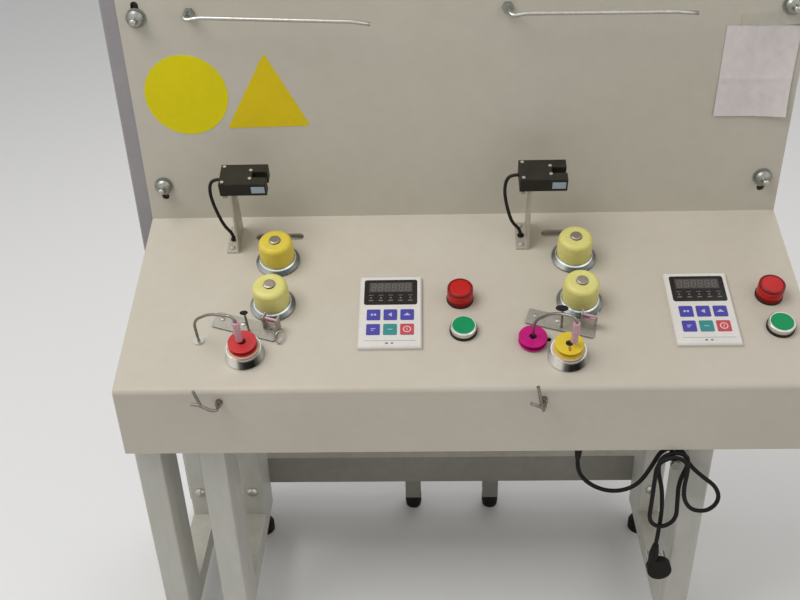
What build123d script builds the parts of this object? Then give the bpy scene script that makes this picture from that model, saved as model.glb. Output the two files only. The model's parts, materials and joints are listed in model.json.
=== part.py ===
from build123d import *
import math
import os

# Two-station bench yarn winder: a sloped sheet-metal desk with an upright back panel,
# carried on low tube frames. Millimetres, +Z up, +X to the operator's right, +Y to the
# back, origin on the floor under the middle of the machine.

# Desk and back panel
desk_width = 766.0
desk_depth = 266.0
desk_slope = 16.0
desk_front_height = 445.0
apron_drop = 88.0
return_flange = 30.0
sheet = 2.0
bend_radius = 7.0
panel_height = 298.0
panel_corner_radius = 3.0
window_slot_length = 58.0
window_slot_width = 11.0
window_slot_v = 231.0
slot_left_u = 20.0
slot_right_u = 15.5

# Stand
leg_x = 30.0
leg_y = 60.0
tube_round = 2.5
front_leg_setback = 20.0
left_frame_x = -292.0
right_frame_x = 266.0
bottom_rail_low = 40.0
rail_height = 30.0
foot_radius = 16.0
foot_height = 20.0
foot_stem_radius = 5.0
foot_inset = 18.0
stretcher_depth = 50.0
stretcher_height = 47.0
stretcher_low = 75.0
stub_size = 23.0
stub_inset = 5.0
stub_round = 2.0
stub_low = 22.0
stub_foot_radius = 12.0
stub_left_x = -68.0
stub_right_x = 48.0
post_size = 30.0
post_overhang = 19.0
bolt_radius = 4.0
bolt_head_radius = 7.5
bolt_head = 5.0
bolt_brim = 1.5

# Station layout, measured on the desk surface from each spindle's u
station_left_u = -240.5
station_right_inset = 273.0
spindle_left_u = -3.1
spindle_right_u = 0.9
spindle_left_v = 49.0
spindle_right_v = 42.0
roller_u = 21.5
lower_roller_v = 121.0
upper_roller_v = 190.0
sensor_v = 236.8
counter_u = 157.0
counter_v = 106.0
lamp_u = 236.4
lamp_v = 127.0
button_u = 239.0
button_v = 80.0

# Rollers
roller_radius = 20.4
roller_height = 35.5
roller_shoulder = 6.0
roller_barrel = 0.6
hub_base_radius = 26.0
hub_base_top_radius = 20.0
hub_base_height = 7.0
hub_radius = 7.0
hub_rise = 0.3
hub_rim = 1.5
hub_edge = 0.6
stud_collar = 1.0
hub_lift = 0.8
stud_radius = 4.0
stud_head_radius = 6.4
stud_head_height = 1.6
stud_tail = 14.0
nut_flat_radius = 6.5
nut_height = 6.5
running_gap = 0.05
seat_gap = 0.3

# Spindles and bobbins
cup_radius = 22.0
cup_top_radius = 19.5
cup_lift = 1.0
cup_height = 12.0
cup_wall = 3.0
cup_foot = 2.5
seat_edge = 0.8
nose_edge = 1.0
spindle_radius = 3.5
spindle_hole_radius = 7.5
spindle_tail = 20.0
seat_radius = 17.5
seat_height = 2.5
bobbin_radius = 15.8
bobbin_core_radius = 9.0
bobbin_flange = 1.6
bobbin_height = 8.0
bobbin_edge = 0.5
bobbin_recess_radius = 4.2
bobbin_recess = 2.5
nose_depth = 3.0
motor_radius = 25.0
motor_length = 58.0
motor_flange = 3.0
motor_flange_radius = 29.0
motor_edge = 2.0
motor_well = 1.0

# Guide arms
arm_wire_radius = 1.6
arm_shoulder = 36.0
arm_crest_share = 0.42
arm_crest_fall = 8.5
arm_bends = [28.0, 38.0, 7.0]
arm_tail = 7.0
arm_tip_inset = 6.0
left_arm_top = 64.5
right_arm_top = 69.5
left_arm_pivot = (-54.2, 20.0)
right_arm_pivot = (-36.7, 21.4)
left_arm_stretch = -2.9
right_arm_stretch = 4.7
ceramic_radius = 4.0
ceramic_length = 30.5
ceramic_drop = 9.5
ceramic_edge = 0.8
bush_radius = 3.5
bush_flange_radius = 6.0
bush_flange = 1.5
bush_tail = 8.0

# Sensors
sensor_left_u = -11.8
sensor_right_u = -17.3
bracket_left_u = -26.7
bracket_right_u = -30.0
sensor_width = 54.5
sensor_depth = 34.5
sensor_thickness = 18.0
sensor_top = 98.0
sensor_edge = 1.0
fork_length = 17.0
fork_gap = 9.5
fork_shift = -0.7
bracket_thickness = 2.0
bracket_v = 226.0
bracket_length = 44.0
bracket_foot = 15.0
bracket_tab = 12.0
bracket_top_near = 222.0
bracket_top_far = 250.0
bracket_screw_pitch = 30.0
bracket_screw_u = -9.0
bracket_screw_head = 3.2
bracket_screw_rise = 3.0
sensor_screw_radius = 2.0
sensor_screw_inset = 4.0
sensor_screw_depth = 1.0
sensor_screw_rise = 0.3
sensor_screw_spread = 7.0
sensor_nut_radius = 3.2
sensor_nut = 3.5
cable_radius = 2.0
cable_hole_u = -8.5
cable_exit_v = 238.0
grommet_radius = 4.2
grommet_hole = 3.2
grommet_rise = 1.5
grommet_edge = 0.5
# from the housing's left end: step along u, step along v, height under the cable's outlet
cable_bow = [
    (0.0, 0.0, 0.0),
    (-8.5, 0.0, 0.0),
    (-14.2, -1.0, -6.5),
    (-15.8, -3.0, -20.0),
    (-13.8, -5.0, -36.0),
    (-9.5, -7.5, -54.0),
    (-4.6, -9.7, -68.0),
]
cable_drop = 11.0

# Controls
counter_width = 71.0
counter_length = 105.5
counter_rise = 5.0
counter_edge = 1.5
counter_lip = 4.0
counter_body_depth = 34.0
glass_width = 61.0
glass_length = 38.0
glass_shift = 28.2
glass_depth = 1.0
glass_round = 3.0
key_width = 15.3
key_length = 15.5
key_column_pitch = 19.0
key_row_pitch = 21.4
key_shift = -16.6
key_rise = 0.5
key_round = 1.2
glass_rise = 0.1
lamp_radius = 14.6
lamp_height = 20.0
lens_round = 1.2
base_ring_radius = 15.6
base_ring_height = 3.0
base_ring_edge = 0.6
lens_flare = 0.4
ring_radius = 14.75
ring_height = 10.0
ring_edge = 1.1
button_radius = 12.6
button_cap = 3.5
button_rise = 0.7
button_edge = 0.6
button_stem_radius = 7.5
button_travel = 3.5
stem_well = 8.0
barrel_radius = 10.7
barrel_depth = 32.0

# Tension plates
tension_left_u = -6.0
tension_right_u = -2.5
tension_v = 88.0
tension_turn = -17.5
plate_length = 77.0
plate_width = 22.0
plate_thickness = 1.5
plate_standoff = 1.0
plate_round = 2.0
plate_screws = [(-29.5, 2.0), (-4.0, 2.0)]
plate_screw_radius = 3.5
plate_screw_rise = 2.2
spacer_radius = 4.0
ear_height = 19.0
ear_width = 9.0
ear_inset = 4.5
bar_span = 15.0
bar_radius = 1.6
bar_low = 8.0
bar_pitch = 7.0
disc_post_u = 2.5
disc_post_v = -5.5
disc_post_radius = 2.0
disc_post_height = 26.0
disc_radius = 6.5
disc_thickness = 1.2
felt_radius = 5.5
felt_thickness = 2.4
spare_hole_u = -17.5
spare_hole_v = 66.0
spare_hole_radius = 3.0

# Guide rods and panel nuts
rod_radius = 2.0
rod_bend = 6.0
rod_standoff = 27.0
rod_length = 181.0
rod_tail = 21.0
rod_tail_fall = 3.5
rod_left_x = -302.0
rod_right_x = 51.0
rod_height = 257.0
rod_nut_radius = 6.0
rod_nut_height = 6.0
nut_inset = 21.0
lower_nut_height = 45.0
upper_nut_height = 253.0
washer_radius = 11.5
washer_height = 1.6
cap_nut_radius = 9.5
cap_nut_height = 8.0
keyhole_radius = 4.5
keyhole_reach = 14.0
rear_nut_height = 4.0
rear_stud = 4.0

# Front thread guides
guide_u = -27.5
guide_drop = 15.0
guide_stem = 16.5
guide_wire_radius = 1.8
guide_ferrule_radius = 4.0
guide_ferrule = 6.0
guide_bend = 4.0
# from the ferrule's middle, right and up, in the plane at the stem's end
left_guide_arm_line = [(-8.3, 2.3), (-17.8, 8.6), (-26.7, 10.1)]
left_guide_upright = [(-16.0, 7.0), (-22.0, 27.9)]
right_guide_arm_line = [(-15.5, 7.3)]
right_guide_upright = [(-1.5, -2.8), (-4.5, 7.7), (-8.9, 29.5)]

# Power cord
cord_radius = 2.5
tangent_share = 0.45
plug_radius = 14.5
plug_thickness = 13.0
plug_neck_radius = 5.5
plug_neck_end = 3.6
plug_neck = 30.0
pin_radius = 2.4
pin_length = 19.0
pin_pitch = 19.0
gland_radius = 6.5
gland_flange_radius = 8.5
gland_length = 24.0
gland_nut = 3.0
gland_collar = 4.0
relief_root = 4.6
relief_tip = 3.2
hook_x = 230.5
hook_front = -10.5
hook_back = 17.0
hook_drop = 100.4
hook_radius = 3.0
hook_knob_radius = 5.5
hook_knob = 3.0
hook_tab_width = 12.0
hook_tab_depth = 3.0
# x from the middle, distance behind the apron's face and height above the front edge
cord_route = [
    (127.0, 15.0, -112.0),
    (127.0, 15.0, -125.0),
    (133.0, 14.5, -141.0),
    (146.0, 14.0, -154.0),
    (163.5, 13.0, -161.5),
    (183.0, 12.0, -160.0),
    (199.5, 11.0, -147.5),
    (210.5, 10.3, -121.0),
    (219.5, 10.0, -94.5),
    (241.0, 10.0, -94.3),
    (251.0, 9.0, -117.5),
    (268.0, 8.0, -135.0),
    (286.0, 7.0, -150.0),
    (292.0, 5.0, -169.0),
    (281.0, 3.5, -185.0),
    (261.5, 2.0, -182.5),
    (250.0, -1.0, -165.0),
    (246.0, -4.0, -143.0),
    (246.5, -5.5, -121.0),
    (246.3, -6.0, -102.3),
    (229.0, -6.0, -92.2),
    (211.7, -6.0, -102.3),
    (211.5, -5.5, -128.0),
    (211.8, -5.0, -163.0),
    (211.5, -4.0, -194.0),
    (227.5, -2.0, -206.5),
    (244.5, 0.5, -196.0),
    (243.0, 2.0, -168.0),
    (241.0, 2.5, -138.0),
    (251.0, 2.2, -103.0),
    (233.0, 2.0, -91.8),
    (215.5, 2.0, -103.0),
    (216.5, 2.5, -124.0),
    (224.0, 3.5, -150.0),
    (227.5, 4.0, -185.0),
    (227.2, 4.0, -215.0),
    (226.3, 4.0, -240.0),
]
plug_centre = (234.0, 4.0, -279.0)
plug_edge = 2.0

slope = math.radians(desk_slope)
desk_run = desk_depth * math.cos(slope)
desk_climb = desk_depth * math.sin(slope)
guide_reach = guide_stem + guide_wire_radius
mid_x = post_overhang / 2
front_y = -(desk_run + stretcher_depth - guide_reach) / 2
panel_y = front_y + desk_run
panel_base = desk_front_height + desk_climb
apron_bottom = desk_front_height - apron_drop
rail_top = bottom_rail_low + rail_height
nut_x = desk_width / 2 - nut_inset
station_right_u = desk_width / 2 - station_right_inset
bolt_height = stretcher_low + stretcher_height * 0.8
outer_frame_x = -desk_width / 2 + sheet + leg_x / 2
post_x = -desk_width / 2 - post_overhang + post_size / 2
cup_top = cup_lift + cup_height
bobbin_low = cup_top + seat_height
bobbin_top = bobbin_low + bobbin_height
nose_top = bobbin_top - nose_depth

# Desk plane: u to the right, v up the slope, its normal out of the surface
desk = Plane(
    origin=(mid_x, front_y, desk_front_height),
    x_dir=(1, 0, 0),
    z_dir=(0, -math.sin(slope), math.cos(slope)),
)
# Panel plane: x to the right, y up from the desk's back edge, its normal to the operator
panel = Plane(origin=(mid_x, panel_y, panel_base), x_dir=(1, 0, 0), z_dir=(0, -1, 0))

stations = {"left": station_left_u, "right": station_right_u}
spindles = {
    "left": (station_left_u + spindle_left_u, spindle_left_v),
    "right": (station_right_u + spindle_right_u, spindle_right_v),
}
arm_pivots = {
    "left": (spindles["left"][0] + left_arm_pivot[0], spindles["left"][1] + left_arm_pivot[1]),
    "right": (spindles["right"][0] + right_arm_pivot[0], spindles["right"][1] + right_arm_pivot[1]),
}
arm_stretches = {"left": left_arm_stretch, "right": right_arm_stretch}
arm_tops = {"left": left_arm_top, "right": right_arm_top}
sensor_offsets = {"left": sensor_left_u, "right": sensor_right_u}
bracket_places = {"left": station_left_u + bracket_left_u, "right": station_right_u + bracket_right_u}
slot_offsets = {"left": slot_left_u, "right": slot_right_u}
plate_offsets = {"left": tension_left_u, "right": tension_right_u}
guide_lines = {
    "left": (left_guide_arm_line, left_guide_upright),
    "right": (right_guide_arm_line, right_guide_upright),
}
frames = {"outer": outer_frame_x, "left": left_frame_x, "right": right_frame_x}
front_leg_y = front_y + front_leg_setback
rear_leg_y = panel_y - leg_y


def on_desk(u, v, h=0.0):
    """World point over the desk at u, v and height h."""
    return desk.from_local_coords(Vector(u, v, h))


def normal_plane(u, v):
    """Plane that holds the desk normal at u, v: its x is u and its y the height."""
    return Plane(origin=on_desk(u, v), x_dir=(1, 0, 0), z_dir=-desk.y_dir)


def turned(here, points, mode=Mode.ADD):
    """Revolve a closed (radius, height) outline about the y axis of a plane."""
    with BuildSketch(here) as outline:
        with BuildLine():
            Polyline(*points, close=True)
        make_face()
    revolve(outline.sketch, axis=Axis(here.origin, here.y_dir), mode=mode)


def round_pin(base, radius, low, high, mode=Mode.ADD):
    """Straight round pin along a plane's normal, from low to high."""
    with BuildSketch(base.offset(low)) as disc:
        Circle(radius)
    extrude(disc.sketch, amount=high - low, mode=mode)


def desk_spot(u, v):
    """Desk plane moved to u, v."""
    return Plane(origin=on_desk(u, v), x_dir=desk.x_dir, z_dir=desk.z_dir)


def toward_front(x, y, z):
    """Plane through a point whose y axis runs to the operator."""
    return Plane(origin=(x, y, z), x_dir=(1, 0, 0), z_dir=(0, 0, -1))


def swept_wire(points, bend, radius):
    """Round wire along points, bent to one radius at each inner point."""
    with BuildLine() as line:
        FilletPolyline(*points, radius=bend)
    path = line.wire()
    with BuildSketch(Plane(origin=path @ 0, z_dir=path % 0)) as section:
        Circle(radius)
    sweep(section.sketch, path=path)


def save(node, name):
    node.part.label = name
    export_step(node.part, f"parts/{name}.step")


os.makedirs("parts", exist_ok=True)

# Desk: one folded sheet with a sloped top, a front apron and two end cheeks
desk_side = Plane(origin=(mid_x, front_y, desk_front_height), x_dir=(0, 1, 0), z_dir=(1, 0, 0))
with BuildPart() as desk_sheet:
    with BuildSketch(desk_side):
        with BuildLine():
            Polyline(
                (0, -apron_drop),
                (0, 0),
                (desk_run, desk_climb),
                (desk_run, -apron_drop),
                close=True,
            )
        make_face()
    extrude(amount=desk_width / 2, both=True)
    front_bend = desk_sheet.edges().filter_by(Axis.X).group_by(Axis.Y)[0].sort_by(Axis.Z)[-1]
    fillet(front_bend, bend_radius)
    rear_face = desk_sheet.faces().sort_by(Axis.Y)[-1]
    bottom_face = desk_sheet.faces().sort_by(Axis.Z)[0]
    offset(amount=-sheet, openings=[rear_face, bottom_face], kind=Kind.INTERSECTION)
    with BuildSketch(Plane.XY.offset(apron_bottom)):
        with Locations((mid_x, front_y + return_flange / 2)):
            Rectangle(desk_width, return_flange)
        with Locations((mid_x + cord_route[0][0], front_y + cord_route[0][1])):
            Circle(gland_radius, mode=Mode.SUBTRACT)
    extrude(amount=sheet)
    with BuildSketch(desk):
        for side, station_u in stations.items():
            with Locations(spindles[side]):
                Circle(spindle_hole_radius)
            with Locations((station_u + roller_u, lower_roller_v), (station_u + roller_u, upper_roller_v)):
                Circle(stud_radius)
            with Locations((station_u + slot_offsets[side], window_slot_v)):
                SlotOverall(window_slot_length, window_slot_width)
            with Locations((station_u + counter_u, counter_v)):
                Rectangle(counter_width - 2 * counter_lip, counter_length - 2 * counter_lip)
            with Locations((station_u + lamp_u, lamp_v), (station_u + button_u, button_v)):
                Circle(barrel_radius)
            with Locations((station_u + spare_hole_u, spare_hole_v)):
                Circle(spare_hole_radius)
            with Locations((bracket_places[side] + cable_hole_u, bracket_v)):
                Circle(grommet_hole)
        with Locations(*arm_pivots.values()):
            Circle(bush_radius)
    extrude(amount=bend_radius, both=True, mode=Mode.SUBTRACT)
save(desk_sheet, "desk_sheet")

# Back panel: a sheet with a return flange below and keyhole slots at its four nuts
nut_places = [
    (side * nut_x, height, way)
    for side in (-1, 1)
    for height, way in ((lower_nut_height, -1), (upper_nut_height, 1))
]
with BuildPart() as back_panel:
    with BuildSketch(panel) as outline:
        with Locations((0, (panel_height + apron_bottom - panel_base) / 2)):
            Rectangle(desk_width, panel_height + panel_base - apron_bottom)
        fillet(outline.vertices().group_by(Axis.Z)[-1], panel_corner_radius)
        for place_x, place_y, way in nut_places:
            with Locations((place_x, place_y + way * keyhole_reach / 2)):
                SlotCenterToCenter(keyhole_reach, 2 * keyhole_radius, rotation=90, mode=Mode.SUBTRACT)
        for rod_x in (rod_left_x, rod_right_x):
            with Locations((rod_x, rod_height)):
                Circle(rod_radius, mode=Mode.SUBTRACT)
    extrude(amount=-sheet)
    with BuildSketch(Plane.XY.offset(apron_bottom)):
        with Locations((mid_x, panel_y - return_flange / 2)):
            Rectangle(desk_width - 2 * sheet, return_flange)
    extrude(amount=sheet)
save(back_panel, "back_panel")

# Tube frames: a front and a rear leg, a rail along the floor and a rail under the desk
with BuildPart() as front_legs:
    with BuildSketch(Plane.XY.offset(rail_top)):
        for frame_x in frames.values():
            with Locations((mid_x + frame_x, front_leg_y + leg_y / 2)):
                RectangleRounded(leg_x, leg_y, tube_round)
    extrude(amount=apron_bottom - rail_top)
save(front_legs, "front_legs")

with BuildPart() as rear_legs:
    with BuildSketch(Plane.XY.offset(rail_top)):
        for frame_x in frames.values():
            with Locations((mid_x + frame_x, rear_leg_y + leg_y / 2)):
                RectangleRounded(leg_x, leg_y, tube_round)
    extrude(amount=apron_bottom - rail_top)
    for frame_x in frames.values():
        bolt_way = Plane(origin=(mid_x + frame_x, rear_leg_y, bolt_height), z_dir=(0, 1, 0))
        round_pin(bolt_way, bolt_radius, 0, leg_y, Mode.SUBTRACT)
save(rear_legs, "rear_legs")

with BuildPart() as bottom_rails:
    with BuildSketch(Plane.XY.offset(bottom_rail_low)):
        for frame_x in frames.values():
            with Locations((mid_x + frame_x, (front_leg_y + panel_y) / 2)):
                RectangleRounded(leg_x, panel_y - front_leg_y, tube_round)
    extrude(amount=rail_height)
save(bottom_rails, "bottom_rails")

with BuildPart() as top_rails:
    with BuildSketch(Plane.XY.offset(apron_bottom - rail_height)):
        for frame_x in frames.values():
            with Locations((mid_x + frame_x, (front_leg_y + panel_y) / 2)):
                Rectangle(leg_x, rear_leg_y - front_leg_y - leg_y)
    extrude(amount=rail_height)
save(top_rails, "top_rails")

# Rear stretcher with its two welded stub legs
stretcher_left = post_x + post_size / 2
stretcher_right = right_frame_x + leg_x / 2
stub_y = panel_y + stretcher_depth - stub_size / 2 - stub_inset
with BuildPart() as rear_stretcher:
    with BuildSketch(Plane.XY.offset(stretcher_low)):
        with Locations((mid_x + (stretcher_left + stretcher_right) / 2, panel_y + stretcher_depth / 2)):
            RectangleRounded(stretcher_right - stretcher_left, stretcher_depth, tube_round)
    extrude(amount=stretcher_height)
    with BuildSketch(Plane.XY.offset(stub_low)):
        with Locations((mid_x + stub_left_x, stub_y), (mid_x + stub_right_x, stub_y)):
            RectangleRounded(stub_size, stub_size, stub_round)
    extrude(amount=stretcher_low - stub_low)
save(rear_stretcher, "rear_stretcher")

# Tall post behind the panel's left edge
post_y = panel_y + sheet + post_size / 2
with BuildPart() as rear_post:
    with BuildSketch(Plane.XY.offset(bottom_rail_low)):
        with Locations((mid_x + post_x, post_y)):
            RectangleRounded(post_size, post_size, tube_round)
    extrude(amount=panel_base + panel_height - bottom_rail_low)
save(rear_post, "rear_post")

# Rubber feet: a moulded disc on a levelling stem under each rail end, stub and the post
foot_places = [
    (mid_x + frame_x, foot_y)
    for frame_x in frames.values()
    for foot_y in (front_leg_y + foot_inset, panel_y - foot_inset)
]
foot_places.append((mid_x + post_x, post_y))
with BuildPart() as rubber_feet:
    for foot_x, foot_y in foot_places:
        here = Plane(origin=(foot_x, foot_y, 0), x_dir=(1, 0, 0), z_dir=(0, -1, 0))
        turned(
            here,
            [
                (0, 0),
                (foot_radius, 0),
                (foot_radius, foot_height * 0.6),
                (foot_radius * 0.75, foot_height),
                (foot_stem_radius, foot_height),
                (foot_stem_radius, bottom_rail_low),
                (0, bottom_rail_low),
            ],
        )
    for stub_x in (stub_left_x, stub_right_x):
        here = Plane(origin=(mid_x + stub_x, stub_y, 0), x_dir=(1, 0, 0), z_dir=(0, -1, 0))
        turned(
            here,
            [
                (0, 0),
                (stub_foot_radius * 0.9, 0),
                (stub_foot_radius, stub_low * 0.3),
                (stub_foot_radius, stub_low),
                (0, stub_low),
            ],
        )
save(rubber_feet, "rubber_feet")

# Bolts through the rear legs into the stretcher, domed heads to the front
with BuildPart() as frame_bolts:
    for frame_x in frames.values():
        turned(
            toward_front(mid_x + frame_x, rear_leg_y, bolt_height),
            [
                (0, -leg_y),
                (bolt_radius, -leg_y),
                (bolt_radius, 0),
                (bolt_head_radius, 0),
                (bolt_head_radius, bolt_brim),
                (bolt_head_radius * 0.6, bolt_head * 0.85),
                (0, bolt_head),
            ],
        )
save(frame_bolts, "frame_bolts")

# Cap nuts on washers, on studs through the panel's keyholes to a nut behind
with BuildPart() as panel_nuts:
    for place_x, place_y, way in nut_places:
        turned(
            toward_front(mid_x + place_x, panel_y, panel_base + place_y),
            [
                (0, -sheet - rear_nut_height - rear_stud),
                (bolt_radius, -sheet - rear_nut_height - rear_stud),
                (bolt_radius, -sheet - rear_nut_height),
                (cap_nut_radius, -sheet - rear_nut_height),
                (cap_nut_radius, -sheet),
                (bolt_radius, -sheet),
                (bolt_radius, 0),
                (washer_radius, 0),
                (washer_radius, washer_height),
                (cap_nut_radius, washer_height),
                (cap_nut_radius, washer_height + cap_nut_height * 0.45),
                (cap_nut_radius * 0.8, washer_height + cap_nut_height * 0.8),
                (cap_nut_radius * 0.4, washer_height + cap_nut_height),
                (0, washer_height + cap_nut_height),
            ],
        )
save(panel_nuts, "panel_cap_nuts")

# Rollers: a soft crowned sleeve on a turned flanged hub, spinning on a fixed stud
roller_places = {
    f"{side}_{place}": (station_u + roller_u, roller_v)
    for side, station_u in stations.items()
    for place, roller_v in (("lower", lower_roller_v), ("upper", upper_roller_v))
}
hub_low = hub_lift
sleeve_low = hub_low + hub_base_height
hub_top = roller_height + hub_rise
for roller_name, (u, v) in roller_places.items():
    with BuildPart() as hub:
        turned(
            normal_plane(u, v),
            [
                (stud_radius + running_gap, hub_low),
                (hub_base_radius, hub_low),
                (hub_base_radius, hub_low + hub_rim),
                (hub_base_top_radius, sleeve_low),
                (hub_radius, sleeve_low),
                (hub_radius, hub_top),
                (stud_radius + running_gap, hub_top),
            ],
        )
        fillet(hub.edges().filter_by(GeomType.CIRCLE).sort_by(SortBy.RADIUS)[-1], hub_edge)
    save(hub, f"{roller_name}_roller_hub")

    here = normal_plane(u, v)
    with BuildPart() as sleeve:
        with BuildSketch(here) as section:
            with BuildLine():
                foot = Line((hub_radius, sleeve_low), (roller_radius - roller_barrel, sleeve_low))
                side_curve = ThreePointArc(
                    foot @ 1,
                    (roller_radius, (sleeve_low + roller_height) / 2),
                    (roller_radius - roller_barrel, roller_height - roller_shoulder),
                )
                shoulder = RadiusArc(
                    side_curve @ 1,
                    (roller_radius - roller_barrel - roller_shoulder, roller_height),
                    -roller_shoulder,
                )
                Polyline(shoulder @ 1, (hub_radius, roller_height), foot @ 0)
            make_face()
        revolve(section.sketch, axis=Axis(here.origin, here.y_dir))
    save(sleeve, f"{roller_name}_roller_sleeve")

with BuildPart() as roller_fasteners:
    for u, v in roller_places.values():
        turned(
            normal_plane(u, v),
            [
                (0, -stud_tail),
                (stud_radius, -stud_tail),
                (stud_radius, 0),
                (hub_radius + stud_collar, 0),
                (hub_radius + stud_collar, hub_lift - seat_gap),
                (stud_radius, hub_lift - seat_gap),
                (stud_radius, hub_top + seat_gap),
                (stud_head_radius, hub_top + seat_gap),
                (stud_head_radius, hub_top + seat_gap + stud_head_height * 0.7),
                (stud_head_radius * 0.8, hub_top + seat_gap + stud_head_height),
                (0, hub_top + seat_gap + stud_head_height),
            ],
        )
        with BuildSketch(desk_spot(u, v).offset(-sheet - nut_height)) as nut_face:
            RegularPolygon(nut_flat_radius, 6, major_radius=False)
        extrude(nut_face.sketch, amount=nut_height)
save(roller_fasteners, "roller_fasteners")

# Spindles: a turned cup and its shaft, a seat ring, and a bobbin pushed over the nose
for side, spindle_place in spindles.items():
    here = normal_plane(*spindle_place)
    with BuildPart() as spindle:
        turned(
            here,
            [
                (0, -spindle_tail),
                (spindle_radius, -spindle_tail),
                (spindle_radius, cup_top - cup_wall),
                (cup_top_radius - cup_foot, cup_top - cup_wall),
                (cup_radius - cup_foot, cup_lift),
                (cup_radius, cup_lift),
                (cup_top_radius, cup_top),
                (spindle_radius, cup_top),
                (spindle_radius, nose_top - nose_edge),
                (spindle_radius - nose_edge, nose_top),
                (0, nose_top),
            ],
        )
    save(spindle, f"{side}_spindle_cup")

    with BuildPart() as seat_ring:
        turned(
            here,
            [
                (spindle_radius, cup_top),
                (seat_radius, cup_top),
                (seat_radius, bobbin_low - seat_edge),
                (seat_radius - seat_edge, bobbin_low),
                (spindle_radius, bobbin_low),
            ],
        )
    save(seat_ring, f"{side}_seat_ring")


def bobbin_outline(bore, low):
    """Half section of a flanged bobbin with a recessed top."""
    high = low + bobbin_height
    return [
        (bore, low),
        (bobbin_radius, low),
        (bobbin_radius, low + bobbin_flange),
        (bobbin_core_radius, low + bobbin_flange),
        (bobbin_core_radius, high - bobbin_flange),
        (bobbin_radius, high - bobbin_flange),
        (bobbin_radius, high),
        (bobbin_recess_radius, high),
        (bobbin_recess_radius, high - bobbin_recess),
        (bore, high - bobbin_recess),
    ]


for side, spindle_place in spindles.items():
    with BuildPart() as bobbin:
        turned(normal_plane(*spindle_place), bobbin_outline(spindle_radius, bobbin_low))
        rims = bobbin.edges().filter_by(GeomType.CIRCLE).group_by(SortBy.RADIUS)[-1]
        fillet(rims, bobbin_edge)
    save(bobbin, f"{side}_bobbin")

with BuildPart() as spare_bobbin:
    turned(normal_plane(*arm_pivots["right"]), bobbin_outline(spindle_radius, bush_flange))
    rims = spare_bobbin.edges().filter_by(GeomType.CIRCLE).group_by(SortBy.RADIUS)[-1]
    fillet(rims, bobbin_edge)
save(spare_bobbin, "spare_bobbin")

# Spindle motors hang under the desk on a round flange
with BuildPart() as spindle_motors:
    for spindle_place in spindles.values():
        turned(
            normal_plane(*spindle_place),
            [
                (spindle_radius + running_gap, -sheet),
                (motor_flange_radius, -sheet),
                (motor_flange_radius, -sheet - motor_flange),
                (motor_radius, -sheet - motor_flange),
                (motor_radius, -sheet - motor_length + motor_edge),
                (motor_radius - motor_edge, -sheet - motor_length),
                (0, -sheet - motor_length),
                (0, -spindle_tail - motor_well),
                (spindle_radius + running_gap, -spindle_tail - motor_well),
            ],
        )
save(spindle_motors, "spindle_motors")

# Guide arms: a wire that rises from its bush, arches over to the spindle and drops into a
# ceramic tube that hangs just above the bobbin
for side, (pivot_u, pivot_v) in arm_pivots.items():
    spindle_u, spindle_v = spindles[side]
    away_u = spindle_u - pivot_u
    away_v = spindle_v - pivot_v
    distance = math.hypot(away_u, away_v)
    toward = desk.x_dir * (away_u / distance) + desk.y_dir * (away_v / distance)
    reach = distance + arm_stretches[side]
    arm_plane = Plane(origin=on_desk(pivot_u, pivot_v), x_dir=toward, z_dir=toward.cross(desk.z_dir))
    tube_top = arm_tops[side] - ceramic_drop
    tube_low = tube_top - ceramic_length
    with BuildPart() as guide_arm:
        with BuildLine(arm_plane) as arm_line:
            FilletPolyline(
                (0, -arm_tail),
                (0, arm_shoulder),
                (reach * arm_crest_share, arm_tops[side] - arm_crest_fall),
                (reach, arm_tops[side]),
                (reach, tube_low + arm_tip_inset),
                radius=arm_bends,
            )
        with BuildSketch(desk_spot(pivot_u, pivot_v).offset(-arm_tail)):
            Circle(arm_wire_radius)
        sweep(path=arm_line.wire())
    save(guide_arm, f"{side}_guide_arm")

    tip_u = pivot_u + away_u * reach / distance
    tip_v = pivot_v + away_v * reach / distance
    with BuildPart() as ceramic_tube:
        turned(
            normal_plane(tip_u, tip_v),
            [
                (arm_wire_radius, tube_low),
                (ceramic_radius, tube_low),
                (ceramic_radius, tube_top),
                (arm_wire_radius, tube_top),
            ],
        )
        tube_ends = ceramic_tube.edges().filter_by(GeomType.CIRCLE).group_by(SortBy.RADIUS)[-1]
        fillet(tube_ends, ceramic_edge)
    save(ceramic_tube, f"{side}_ceramic_tube")

with BuildPart() as arm_bushes:
    for arm_pivot in arm_pivots.values():
        turned(
            normal_plane(*arm_pivot),
            [
                (arm_wire_radius + running_gap, -bush_tail),
                (bush_radius, -bush_tail),
                (bush_radius, 0),
                (bush_flange_radius, 0),
                (bush_flange_radius, bush_flange),
                (arm_wire_radius + running_gap, bush_flange),
            ],
        )
save(arm_bushes, "arm_bushes")

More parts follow.
